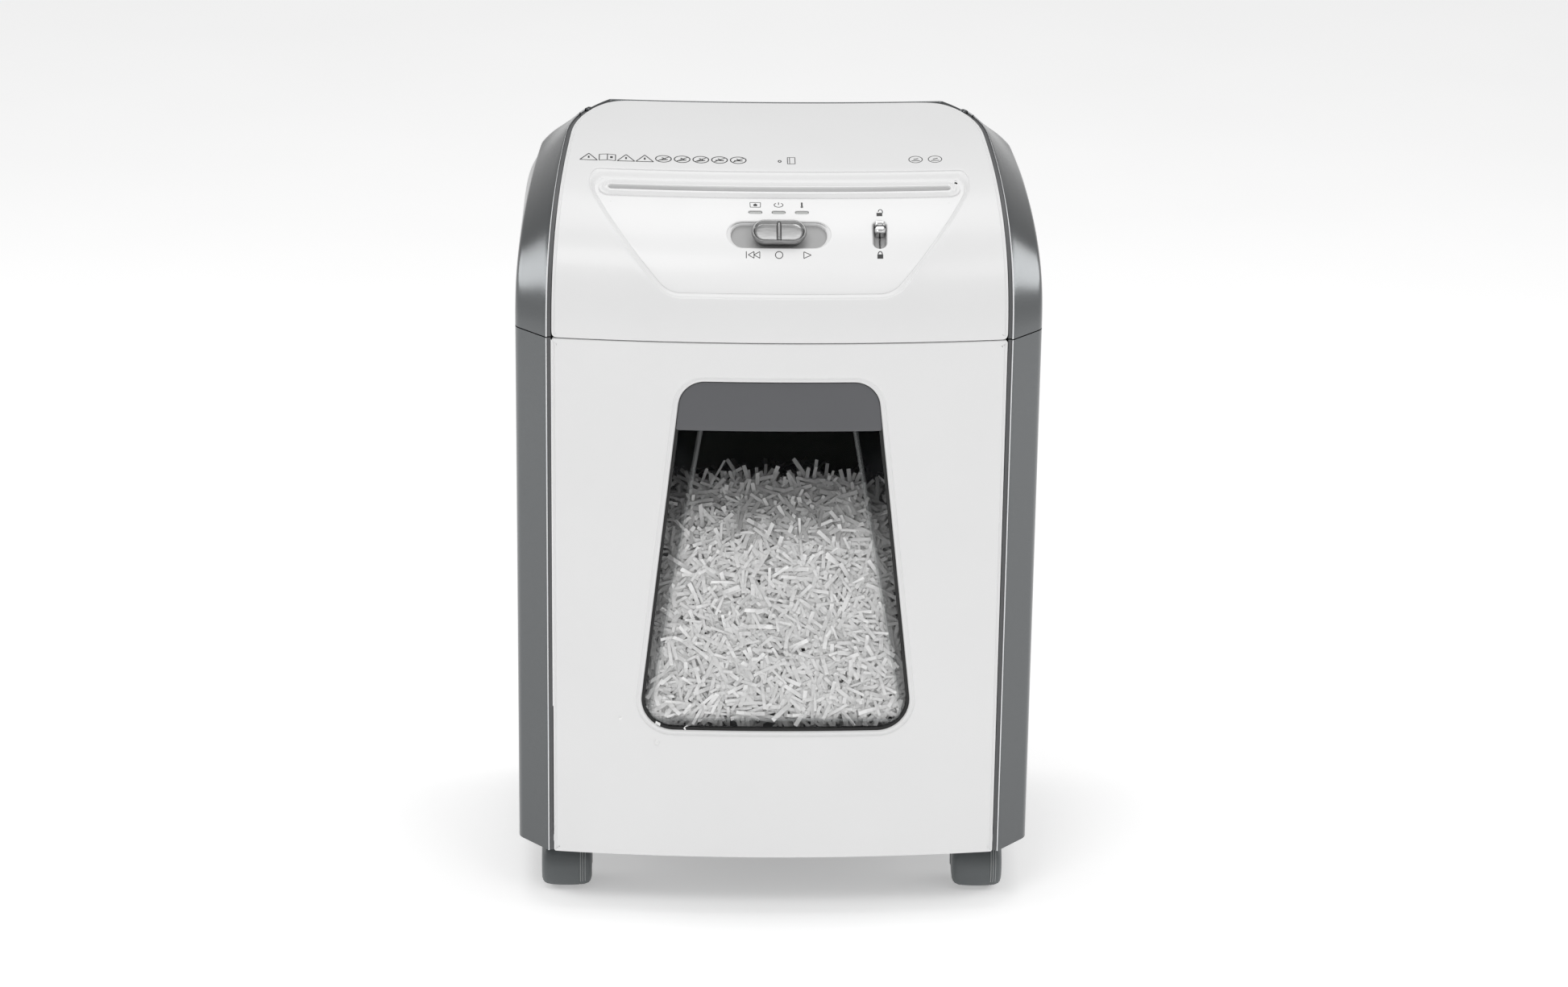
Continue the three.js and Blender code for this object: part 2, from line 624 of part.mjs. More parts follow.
// Cutter shaft: a stepped row of discs, shafts standing out at both ends.
function cutter(count, firstX, rightEnd) {
  const profile = [[0, -PLATE_X - 7], [SHAFT_RADIUS, -PLATE_X - 7], [SHAFT_RADIUS, -PLATE_X + 1.2]];
  profile.push([SPACER_RADIUS, -PLATE_X + 1.2]);
  for (let disc = 0; disc < count; disc += 1) {
    const x = firstX + disc * DISC_PITCH;
    profile.push([SPACER_RADIUS, x - DISC_WIDTH / 2], [DISC_RADIUS, x - DISC_WIDTH / 2]);
    profile.push([DISC_RADIUS, x + DISC_WIDTH / 2], [SPACER_RADIUS, x + DISC_WIDTH / 2]);
  }
  profile.push([SPACER_RADIUS, PLATE_X - 1.2], [SHAFT_RADIUS, PLATE_X - 1.2]);
  profile.push([SHAFT_RADIUS, rightEnd], [0, rightEnd]);
  return turnedX(profile, 8);
}

// Involute gear outline with teeth slightly thinned for backlash. A tooth is centred
// on the angle phase.
function gearShape(gear, phase, bore) {
  const pressure = THREE.MathUtils.degToRad(20);
  const involute = (angle) => Math.tan(angle) - angle;
  const pitch = pitchRadius(gear);
  const base = pitch * Math.cos(pressure);
  const halfTooth = Math.PI / 2 / gear.teeth - BACKLASH / pitch;
  const flank = [pitch - 1.25 * gear.module, pitch + 0.9 * gear.module].map((radius) => {
    const angle = Math.acos(Math.min(1, base / radius));
    return [radius, halfTooth + involute(pressure) - involute(angle)];
  });
  const sides = [...flank.map(([r, a]) => [r, -a]), ...flank.slice().reverse()];
  const points = [];
  for (let tooth = 0; tooth < gear.teeth; tooth += 1) {
    const centre = phase + tooth * 2 * Math.PI / gear.teeth;
    for (const [radius, angle] of sides) {
      points.push(new THREE.Vector2(radius * Math.cos(centre + angle), radius * Math.sin(centre + angle)));
    }
  }
  const shape = new THREE.Shape(points);
  if (bore > 0) {
    const hole = new THREE.Path();
    hole.absarc(0, 0, bore, 0, 2 * Math.PI, true);
    shape.holes.push(hole);
  }
  return shape;
}

function gearBlank(gear, phase, bore) {
  const geometry = new THREE.ExtrudeGeometry(gearShape(gear, phase, bore), {
    depth: gear.width, bevelEnabled: false, curveSegments: 8 });
  geometry.translate(0, 0, gear.x);
  return alongX(geometry);
}

const rod = (radius, from, to, segments = 16) => turnedX([[0, from], [radius, from], [radius, to], [0, to]], segments);
const toothGap = (gear) => Math.PI / gear.teeth;

function place(mesh, [y, z]) {
  mesh.position.set(0, y, z);
}

place(add('cutter_front', cutter(16, -105, SYNC.x + SYNC.width + 1), STEEL), FRONT_SHAFT);
place(add('cutter_rear', cutter(15, -98, DRIVE.x + DRIVE.width + 1), STEEL), REAR_SHAFT);

const gearBore = SHAFT_RADIUS + GAP;
const NYLON = plastic(0xd8d4c4, 0.45);
place(add('sync_gear_front', gearBlank(SYNC, 0, gearBore), STEEL), FRONT_SHAFT);
place(add('sync_gear_rear', gearBlank(SYNC, Math.PI + toothGap(SYNC), gearBore), STEEL), REAR_SHAFT);
place(add('drive_gear', gearBlank(DRIVE, REDUCTION_ANGLE, gearBore), STEEL), REAR_SHAFT);

const smallPhase = REDUCTION_ANGLE + Math.PI + toothGap(SMALL);
const reduction = join(
  gearBlank(SMALL, smallPhase, 0),
  gearBlank(LARGE, MOTOR_ANGLE, 0),
  rod(5, PLATE_X - 3, LARGE.x + LARGE.width + 1));
place(add('reduction_gear', join(reduction, rod(9, SMALL.x + 1, LARGE.x + 1)), NYLON), REDUCTION);

const pinionPhase = MOTOR_ANGLE + Math.PI + toothGap(PINION);
const pinion = join(gearBlank(PINION, pinionPhase, 0), rod(4, PLATE_X - 7.5, PINION.x + PINION.width + 0.5));
place(add('motor_pinion', pinion, STEEL), MOTOR);

add('motor', turnedX([
  [0, -6], [9, -6], [9, 0], [26, 0], [30, 4], [30, 96], [26, 100], [12, 100],
  [12, PLATE_X - GAP], [4.4, PLATE_X - GAP], [4.4, PLATE_X - 8], [0, PLATE_X - 8],
], 20), metal(0x55585b, 0.5)).position.set(0, ...MOTOR);

// End plates with running clearance round each shaft.
function endPlate(withDrive) {
  const outline = [[-108, DECK_TOP + GAP], [-108, 448], [-92, 468], [-40, 484], [60, 484], [60, DECK_TOP + GAP]];
  const shape = new THREE.Shape(outline.map(([y, z]) => new THREE.Vector2(y, z)));
  const holes = [[FRONT_SHAFT, SHAFT_RADIUS + 0.5], [REAR_SHAFT, SHAFT_RADIUS + 0.5]];
  if (withDrive) {
    holes.push([REDUCTION, 5.6], [MOTOR, 4.6]);
  }
  const blank = alongX(new THREE.ExtrudeGeometry(shape, { depth: PLATE_THICK, bevelEnabled: false }));
  const drills = holes.map(([[y, z], radius]) => rod(radius, -1, PLATE_THICK + 1).translate(0, y, z));
  return subtract(blank, ...drills);
}

add('cutter_plate_left', endPlate(false), STEEL).position.x = -PLATE_X - PLATE_THICK;
add('cutter_plate_right', endPlate(true), STEEL).position.x = PLATE_X;

const TIE_RODS = [['tie_rod_front', -102, 416], ['tie_rod_middle', -36, 416], ['tie_rod_rear', -14, 474]];
for (const [name, y, z] of TIE_RODS) {
  place(add(name, rod(3.5, -PLATE_X + GAP, PLATE_X - GAP, 10), STEEL), [y, z]);
}

// Control board standing behind the motor, with its tallest components.
add('control_board', join(
  box([-100, 88, DECK_TOP + GAP], [-10, 89.6, 478]),
  box([-92, 89.5, 430], [-64, 104, 462]),
  box([-54, 89.5, 425], [-38, 112, 441]),
  box([-30, 89.5, 440], [-16, 98, 470])), plastic(0x2f5d3a, 0.6));

// ---------------------------------------------------------------- bin
add('bin_front', subtract(
  frontPlate(INNER_HALF, 0, DOOR_THICK, BODY_BOTTOM, DOOR_TOP),
  prismY(windowShape(0), -160, -100)), WHITE);

const gasketRing = subtract(prismY(windowShape(GAP), -160, -100), prismY(windowShape(1.9), -161, -99));
add('window_gasket', intersect(
  gasketRing, frontPlate(120, 1.4, DOOR_THICK + 0.4, 100, 400)), plastic(0x141414, 0.7));

const handleZone = (inset, near, far, top) => intersect(
  prismY(windowShape(inset), -160, -100), frontPlate(120, near, far, HANDLE_BOTTOM, top));
const handlePlate = handleZone(2.2, 1.5, 5.5, 400);
const handleLip = intersect(handleZone(14, 5, 14, HANDLE_BOTTOM + 3), box([-54, -160, 300], [54, -100, 400]));
add('bin_handle', join(handlePlate, handleLip), HANDLE_GREY);

// The pane: a clear tray, flush at the bottom and set back at the top, with cheeks.
const PANE_LOW = { half: 84.5, z: 144, y: frontY(0) + 5.5 };
const PANE_HIGH = { half: 49, z: 381, y: frontY(0) + 38 };
const paneY = (z) => (
  PANE_LOW.y + (PANE_HIGH.y - PANE_LOW.y) * (z - PANE_LOW.z) / (PANE_HIGH.z - PANE_LOW.z));

function paneHull(inset, grow, forward) {
  const points = [];
  for (const { x, y: z } of windowShape(inset).getSpacedPoints(36)) {
    points.push(new THREE.Vector3(x, frontY(x) + RIM_DEPTH, z));
    points.push(new THREE.Vector3(x, frontY(x) + RIM_DEPTH - forward, z));
  }
  for (const sign of [-1, 1]) {
    points.push(new THREE.Vector3(sign * (PANE_LOW.half + grow), PANE_LOW.y + grow, PANE_LOW.z - grow));
    points.push(new THREE.Vector3(sign * (PANE_HIGH.half + grow), PANE_HIGH.y + grow, PANE_HIGH.z + grow / 2));
  }
  return new ConvexGeometry(points);
}

const handleClear = frontPlate(120, -20, 5.8, HANDLE_BOTTOM - GAP, 400);
const paneFront = frontPlate(120, -20, RIM_DEPTH, 100, 400);
const paneBlank = intersect(paneHull(2.8, PANE_THICK, 0), prismY(windowShape(2.3), -160, -60));
add('window_pane', subtract(
  paneBlank, paneHull(2.8 + PANE_THICK, 0, 20), handleClear, paneFront),
{ color: 0x8d9296, roughness: 0.1, metalness: 0, transparent: true, opacity: 0.35 });

function binTub() {
  const outer = box([-TUB.half, TUB.front, TUB.bottom], [TUB.half, TUB.back, TUB.top]);
  const inner = box(
    [-TUB.half + TUB.wall, TUB.front + TUB.wall, TUB.bottom + TUB.wall],
    [TUB.half - TUB.wall, TUB.back - TUB.wall, TUB.top + 1]);
  const view = box([-99, TUB.front - 1, 128.5], [99, TUB.front + TUB.wall + 1, TUB.top + 1]);
  return subtract(outer, inner, view);
}

add('bin_tub', binTub(), plastic(0x26282a, 0.6));

// Heap of shredded paper filling the bin up to behind the window.
function paperHeap() {
  const half = TUB.half - TUB.wall - 1;
  const front = TUB.front + TUB.wall + 1;
  const back = TUB.back - TUB.wall - 1;
  const low = TUB.bottom + TUB.wall + GAP;
  const points = [];
  for (const sign of [-1, 1]) {
    for (const y of [front, back]) {
      const rim = y === front ? y + 7.5 : y;
      points.push(new THREE.Vector3(sign * half, y, low), new THREE.Vector3(sign * half, rim, 276));
    }
    points.push(new THREE.Vector3(sign * 70, front + 20, 304), new THREE.Vector3(sign * 70, back - 60, 300));
  }
  points.push(new THREE.Vector3(0, -40, 318));
  const wedge = [];
  for (const [z, wide] of [[147, 82], [296, 56]]) {
    for (const sign of [-1, 1]) {
      wedge.push(new THREE.Vector3(sign * wide, paneY(z) + PANE_THICK + 1.4, z));
      wedge.push(new THREE.Vector3(sign * wide, front + 22, z));
    }
  }
  return join(new ConvexGeometry(points), new ConvexGeometry(wedge));
}

add('shredded_paper', paperHeap(), plastic(0xe6e6e4, 0.9));

// ---------------------------------------------------------------- casters
const HOOD_PROFILE = [[0, -17.3], [15, -17.3], [19.6, -14], [20.4, 0]];

// Hood of a twin wheel: a barrel round the axle, open below, hollow round the wheels,
// with a socket for the stem. The swivel axis is the local Z axis.
function casterHood() {
  const barrel = turnedX([...HOOD_PROFILE, ...HOOD_PROFILE.slice(0, -1).reverse().map(([r, x]) => [r, -x])], 14);
  barrel.translate(0, CASTER_TRAIL, WHEEL_RADIUS);
  const socket = turnedZ([[0, 30], [8, 30], [8, 39], [0, 39]], 8);
  const under = box([-30, -30, -10], [30, 40, 3.5]);
  const stem = turnedZ([[0, 31.2], [3.6, 31.2], [3.6, 50], [0, 50]], 8);
  const cavities = [-1, 1].map((side) => {
    const cavity = rod(18.1, Math.min(side * 4.8, side * 13.8), Math.max(side * 4.8, side * 13.8), 14);
    cavity.translate(0, CASTER_TRAIL, WHEEL_RADIUS);
    return cavity;
  });
  const axle = rod(3.3, -10, 10, 8);
  axle.translate(0, CASTER_TRAIL, WHEEL_RADIUS);
  return subtract(join(barrel, socket), under, stem, axle, ...cavities);
}

// Two wheels on one axle, centred on the axle.
function casterWheels() {
  const half = [[2.9, 5.2], [16.3, 5.2], [17.5, 6.6], [17.5, 12], [16.2, 13.3], [0, 13.3]];
  const mirrored = half.slice().reverse().map(([r, x]) => [r, -x]);
  return turnedX([...mirrored, ...half], 16);
}

const CORNERS = [['front_left', -1, -1], ['front_right', 1, -1], ['rear_left', -1, 1], ['rear_right', 1, 1]];
for (const [corner, sideX, sideY] of CORNERS) {
  const caster = new THREE.Group();
  caster.position.set(sideX * CASTER_X, sideY * CASTER_Y - CASTER_TRAIL, 0);
  group.add(caster);
  const flangeTop = BODY_BOTTOM + POCKET_DEPTH - GAP;
  const stem = turnedZ([[0, 31.5], [3.3, 31.5], [3.3, 39.6], [FLANGE_RADIUS, 39.6], [FLANGE_RADIUS, flangeTop],
    [0, flangeTop]], 12);
  add(`caster_stem_${corner}`, stem, STEEL, caster);
  add(`caster_hood_${corner}`, casterHood(), CHARCOAL, caster);
  add(`caster_wheels_${corner}`, casterWheels(), plastic(0x232527, 0.6), caster)
    .position.set(0, CASTER_TRAIL, WHEEL_RADIUS);
}

export default group;
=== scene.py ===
"""Looks of an office paper shredder on casters, with a pull-out bin.

Lengths in this script are millimetres; MM turns them into metres when a mesh is made.
"""
import json
import math

import bpy
import numpy as np
from mathutils import Matrix, Vector
from mathutils.geometry import delaunay_2d_cdt


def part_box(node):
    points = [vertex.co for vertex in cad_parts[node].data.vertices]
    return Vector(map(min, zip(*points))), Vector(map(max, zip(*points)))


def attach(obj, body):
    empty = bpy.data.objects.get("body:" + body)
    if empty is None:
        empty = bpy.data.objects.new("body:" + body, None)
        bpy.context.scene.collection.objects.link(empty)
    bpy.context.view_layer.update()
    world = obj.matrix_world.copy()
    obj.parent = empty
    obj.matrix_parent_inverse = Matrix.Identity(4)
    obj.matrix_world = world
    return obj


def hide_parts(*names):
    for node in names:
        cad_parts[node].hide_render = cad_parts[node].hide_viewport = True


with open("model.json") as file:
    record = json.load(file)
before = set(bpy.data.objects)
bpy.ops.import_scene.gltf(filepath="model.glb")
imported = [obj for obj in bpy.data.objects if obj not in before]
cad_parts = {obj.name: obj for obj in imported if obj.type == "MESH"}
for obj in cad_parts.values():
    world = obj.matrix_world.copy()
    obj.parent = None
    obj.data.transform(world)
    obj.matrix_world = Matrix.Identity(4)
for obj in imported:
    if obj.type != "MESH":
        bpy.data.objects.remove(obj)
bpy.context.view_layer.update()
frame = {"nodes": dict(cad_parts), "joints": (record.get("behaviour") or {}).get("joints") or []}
MM = 0.001

# -------------------- driving sizes
OUTER_HALF = 174.0
INNER_HALF = 149.5
FRONT_Y = -120.1
BULGE = 10.8
BACK_Y = 127.9
CHAMFER_DEPTH = 25.0
GROOVE = 3.0
STRIP_STEP = 0.6
CORNER = 14.0
WALL = 3.0
BODY_BOTTOM = 42.8
SEAM = 409.0
SEAM_GAP = 0.6
PROFILE_HEIGHT = 118.7
PROFILE_LENGTH = 88.95
PROFILE_POWER = 2.352
COVER_DEPTH = 190.0
TAPER = 0.083
NARROW_FROM = 125.0
NARROW_BY = 21.0
NARROW_POWER = 2.2
REAR_SLOPE = 54.0
REAR_CURVE = 20.8
REAR_JOINT = 128.0
REAR_GAP = 1.0
REAR_RISE = 0.3
REAR_BLEND = 104.0
PANEL_TOP = 94.8
FEED_DEPTH = 51.0
SLOT_HALF = 113.0
HANDLE_BOTTOM = 348.3
RIM_WIDTH = 3.4
CONTROL_X = -1.0
MODE_HEIGHT = 68.0
LOCK_X = 65.2
LED_HEIGHT = 79.2
LED_STEP = 15.3
rng = np.random.default_rng(7)


# -------------------- outer surfaces
def bulge(x):
    return BULGE * (1 - (x / INNER_HALF) ** 2)


def profile_height(depth):
    return PROFILE_HEIGHT * (1 - np.exp(-depth / PROFILE_LENGTH)) ** (1 / PROFILE_POWER)


def profile_depth(height):
    return -PROFILE_LENGTH * np.log(1 - (height / PROFILE_HEIGHT) ** PROFILE_POWER)


def ramp(value, low, high):
    return np.clip((value - low) / (high - low), 0, 1)


def smooth(value, low, high):
    t = ramp(value, low, high)
    return t * t * (3 - 2 * t)


def path_lengths(path):
    """Distance from a path's start to each of its points."""
    return np.concatenate([[0], np.cumsum(np.linalg.norm(np.diff(path, axis=0), axis=1))])


def points_at(path, along, at):
    """Points of a flat path at the given distances from its start."""
    return np.stack([np.interp(at, along, path[:, k]) for k in range(2)], 1)


# Length along the head's side profile; the cover is drawn flat in (x, this length).
_depths = np.linspace(0, 1, 6000) ** 3 * 215
_heights = profile_height(_depths)
_lengths = np.concatenate([[0], np.cumsum(np.hypot(np.diff(_depths), np.diff(_heights)))])


def length_at_height(height):
    return np.interp(height, _heights, _lengths)


def depth_at_length(length):
    return np.interp(length, _lengths, _depths)


def height_at_length(length):
    return np.interp(length, _lengths, _heights)


COVER_TOP = float(profile_height(COVER_DEPTH))


def cover_half(depth):
    """Half width of the white cover at a depth behind its front edge."""
    return INNER_HALF - TAPER * depth - NARROW_BY * ramp(depth, NARROW_FROM, COVER_DEPTH) ** NARROW_POWER


def strip_point(depth, across):
    """Point on the grey strip beside the cover: across is 0 at the groove, 1 at the edge."""
    fade = np.exp(-depth / PROFILE_LENGTH)
    rise = PROFILE_HEIGHT / (PROFILE_POWER * PROFILE_LENGTH) * fade
    rise = rise * (1 - fade) ** (1 / PROFILE_POWER - 1)
    length = np.hypot(rise, 1)
    inner = cover_half(depth) + GROOVE
    outer = OUTER_HALF - TAPER * depth
    return (inner + (outer - inner) * across,
            FRONT_Y + depth + CHAMFER_DEPTH * across * rise / length + STRIP_STEP * (1 - across),
            profile_height(depth) - CHAMFER_DEPTH * across / length)


def strip_end(across):
    """Depth at which the strip meets the rear, measured like the cover's depth."""
    rear_start, slant, swell, pull = 157.5, 27, 3, 9
    return (rear_start + slant * np.minimum(across, 0.5) + swell * ramp(across, 0.5, 0.75)
            - pull * ramp(across, 0.7, 1) ** 3)


def strip_across(depth, height):
    top = profile_height(depth)
    return ramp((top - height) / (top - strip_point(depth, 1)[2]), 0, 1)


def strip_cut(height, share):
    """Point of the strip at a height: share 0 is the groove, 1 the far end."""
    start = float(profile_depth(height))
    near, far = start, COVER_DEPTH
    for _ in range(40):
        middle = (near + far) / 2
        across = float(strip_across(middle, height))
        if across >= 1 or middle > strip_end(across):
            far = middle
        else:
            near = middle
    depth = start + (near - start) * share ** 2
    x, y, _ = strip_point(depth, strip_across(depth, height))
    return float(x), float(y)


# Rear outline of the head's level cuts, tabulated by height above the seam: nearly square
# low down, round near the top. The powers are those of a superellipse.
SQUARE_UP_TO = 5.0
ROUND_FROM = 88.0
SQUARE_POWER = 1.6
CURL_FROM = 48.0
ACROSS_POWERS = (6.6, 27.4)
DEPTH_POWERS = (1.5, 32.5)
_levels = np.linspace(0.2, COVER_TOP - 0.05, 240)
_ends = np.array([strip_cut(h, 1.0) for h in _levels])
_fall = COVER_TOP - _levels
_drop = np.minimum((np.sqrt(REAR_SLOPE ** 2 + 2 * REAR_CURVE * _fall) - REAR_SLOPE) / REAR_CURVE, 1)
_square = (1 - ramp(_levels, SQUARE_UP_TO, ROUND_FROM)) ** SQUARE_POWER


def side_bulge(x):
    return bulge(np.minimum(np.abs(x), INNER_HALF))


_table = {
    "side_x": _ends[:, 0], "curl": ramp(_levels, CURL_FROM, COVER_TOP),
    "middle_y": BACK_Y - (BACK_Y - FRONT_Y - COVER_DEPTH - 1.5) * (1 - _drop) ** 2,
    "across": ACROSS_POWERS[0] + ACROSS_POWERS[1] * _square,
    "depth": DEPTH_POWERS[0] + DEPTH_POWERS[1] * _square,
}
_table["side_y"] = _ends[:, 1] + _table["curl"] * side_bulge(_ends[:, 0])


def rear_cut(height):
    return {key: np.interp(height, _levels, column) for key, column in _table.items()}


def rear_y(x, height):
    cut = rear_cut(height)
    share = (1 - np.minimum(np.abs(x) / cut["side_x"], 1) ** cut["across"]) ** (1 / cut["depth"])
    return cut["side_y"] + (cut["middle_y"] - cut["side_y"]) * share - cut["curl"] * side_bulge(x)


def rear_turn(height, angle):
    cut = rear_cut(height)
    x = cut["side_x"] * np.cos(angle) ** (2 / cut["across"])
    share = np.sin(angle) ** (2 / cut["depth"])
    return x, cut["side_y"] + (cut["middle_y"] - cut["side_y"]) * share - cut["curl"] * side_bulge(x)


def joint_angle(height):
    cut = rear_cut(height)
    return np.arccos((REAR_JOINT / cut["side_x"]) ** (cut["across"] / 2))


_edge_depths = np.linspace(100, COVER_DEPTH, 900)


def rear_edge(x):
    """Place of the rear cover's upper edge, behind the white cover's."""
    half = np.abs(x) - REAR_GAP
    depth = np.interp(-half, -cover_half(_edge_depths), _edge_depths)
    return FRONT_Y + depth + REAR_GAP + STRIP_STEP - bulge(x), profile_height(depth) + REAR_RISE


def sunk_below(place, normal, sink):
    """Points moved against their normals by the given depth."""
    normal = normal / np.maximum(np.linalg.norm(normal, axis=1), 1e-9)[:, None]
    return place - normal * np.asarray(sink).reshape(-1, 1)


def head_surface(points, sink=0.0):
    """Points (x, length along the profile) on the head, sunk below its surface."""
    x, s = points[:, 0], points[:, 1]
    step = 0.2
    dy = (depth_at_length(s + step) - depth_at_length(s - step)) / (2 * step)
    dz = (height_at_length(s + step) - height_at_length(s - step)) / (2 * step)
    slope = 2 * BULGE * x / INNER_HALF ** 2
    normal = np.stack([slope * dz, -dz, dy], 1)
    place = np.stack([x, FRONT_Y + depth_at_length(s) - bulge(x), SEAM + height_at_length(s)], 1)
    return sunk_below(place, normal, sink)


def front_surface(points, sink=0.0):
    """Points (x, z) on the curved front of the bin, sunk below its surface."""
    x, z = points[:, 0], points[:, 1]
    slope = 2 * BULGE * x / INNER_HALF ** 2
    normal = np.stack([slope, -np.ones_like(x), np.zeros_like(x)], 1)
    return sunk_below(np.stack([x, FRONT_Y - bulge(x), z], 1), normal, sink)


# -------------------- mesh helpers
def make_object(name, points, faces, material, sharp=38.0):
    mesh = bpy.data.meshes.new(name)
    mesh.from_pydata([tuple(p) for p in np.asarray(points) * MM], [],
                     [tuple(map(int, f)) for f in faces])
    mesh.validate()
    mesh.polygons.foreach_set("use_smooth", [True] * len(mesh.polygons))
    mesh.set_sharp_from_angle(angle=math.radians(sharp))
    obj = bpy.data.objects.new(name, mesh)
    bpy.context.scene.collection.objects.link(obj)
    for entry in material if isinstance(material, (list, tuple)) else [material]:
        mesh.materials.append(entry)
    return obj


def bevel(obj, width, segments=3, angle=40.0):
    modifier = obj.modifiers.new("edges", "BEVEL")
    modifier.width = width * MM
    modifier.segments = segments
    modifier.limit_method = "ANGLE"
    modifier.angle_limit = math.radians(angle)
    modifier.harden_normals = True
    return obj


def loop_normals(loop):
    """Unit normals of a closed anticlockwise loop, pointing out of it."""
    tangent = np.roll(loop, -1, 0) - np.roll(loop, 1, 0)
    tangent /= np.linalg.norm(tangent, axis=1)[:, None]
    return np.stack([tangent[:, 1], -tangent[:, 0]], 1)


def resample(loop, spacing):
    closed = np.vstack([loop, loop[:1]])
    along = path_lengths(closed)
    count = max(8, int(round(along[-1] / spacing)))
    return points_at(closed, along, np.linspace(0, along[-1], count, endpoint=False))


def fillet(corners, radii, segments=10):
    """A closed polygon with a round of the given radius at each corner."""
    corners = np.asarray(corners, float)
    out = []
    for i, corner in enumerate(corners):
        back = corners[i - 1] - corner
        ahead = corners[(i + 1) % len(corners)] - corner
        back /= np.linalg.norm(back)
        ahead /= np.linalg.norm(ahead)
        radius = radii[i]
        if radius <= 0:
            out.append(corner)
            continue
        half = math.acos(float(np.clip(back @ ahead, -1, 1))) / 2
        reach = radius / math.tan(half)
        middle = back + ahead
        middle /= np.linalg.norm(middle)
        centre = corner + middle * radius / math.sin(half)
        start = corner + back * reach - centre
        end = corner + ahead * reach - centre
        first = math.atan2(start[1], start[0])
        turn = (math.atan2(end[1], end[0]) - first + math.pi) % (2 * math.pi) - math.pi
        for k in range(segments + 1):
            angle = first + turn * k / segments
            out.append(centre + radius * np.array([math.cos(angle), math.sin(angle)]))
    return np.array(out)


def capsule(half_length, half_width, centre=(0.0, 0.0), segments=20):
    straight = half_length - half_width
    right = [(straight + half_width * math.cos(a), half_width * math.sin(a))
             for a in np.linspace(-math.pi / 2, math.pi / 2, segments)]
    left = [(-x, -y) for x, y in right]
    return np.array(right + left) + np.array(centre)


def between(left, right, low, high):
    """Corners of a rectangle, anticlockwise."""
    return [(left, low), (right, low), (right, high), (left, high)]


def rounded_box(half_x, half_y, radius, centre=(0.0, 0.0), segments=8):
    corners = between(-half_x, half_x, -half_y, half_y)
    return fillet(corners, [radius] * 4, segments) + np.array(centre)


def soften(loop, centre, reach, rounds):
    """Rounds a loop off near one place."""
    loop = loop.copy()
    near = np.linalg.norm(loop - np.array(centre), axis=1) < reach
    for _ in range(rounds):
        middle = (np.roll(loop, 1, 0) + np.roll(loop, -1, 0)) / 2
        loop[near] = (loop[near] + middle[near]) / 2
    return loop


def inside(points, loop):
    result = np.zeros(len(points), bool)
    x, y = points[:, 0], points[:, 1]
    for (x0, y0), (x1, y1) in zip(loop, np.roll(loop, -1, 0)):
        if y0 == y1:
            continue
        crosses = (y0 > y) != (y1 > y)
        result ^= crosses & (x < (x1 - x0) * (y - y0) / (y1 - y0) + x0)
    return result


def triangulate(loops, spacing):
    """Even triangles inside the first loop and outside the others."""
    border = np.vstack(loops)
    edges = []
    start = 0
    for loop in loops:
        edges += [(start + i, start + (i + 1) % len(loop)) for i in range(len(loop))]
        start += len(loop)
    low, high = loops[0].min(0), loops[0].max(0)
    rows = []
    for k, y in enumerate(np.arange(low[1], high[1], spacing * 0.866)):
        xs = np.arange(low[0] + (k % 2) * spacing / 2, high[0], spacing)
        rows.append(np.stack([xs, np.full(len(xs), y)], 1))
    grid = np.vstack(rows)
    keep = inside(grid, loops[0])
    for hole in loops[1:]:
        keep &= ~inside(grid, hole)
    grid = grid[keep]
    if len(grid):
        near = np.array([np.min(np.sum((border - p) ** 2, 1)) for p in grid])
        grid = grid[near > (0.6 * spacing) ** 2]
    flat = np.vstack([border, grid]) if len(grid) else border
    result = delaunay_2d_cdt([Vector(p) for p in flat], edges, [], 0, 1e-6)
    source = [ids[0] if ids else -1 for ids in result[3]]
    faces = np.array([[source[i] for i in face] for face in result[2]])
    centre = flat[faces].mean(1)
    keep = inside(centre, loops[0])
    for hole in loops[1:]:
        keep &= ~inside(centre, hole)
    faces = faces[keep]
    a, b, c = (flat[faces[:, k]] for k in range(3))
    area = (b[:, 0] - a[:, 0]) * (c[:, 1] - a[:, 1]) - (b[:, 1] - a[:, 1]) * (c[:, 0] - a[:, 0])
    faces[area < 0] = faces[area < 0][:, ::-1]
    return flat, faces[np.abs(area) > 1e-9]


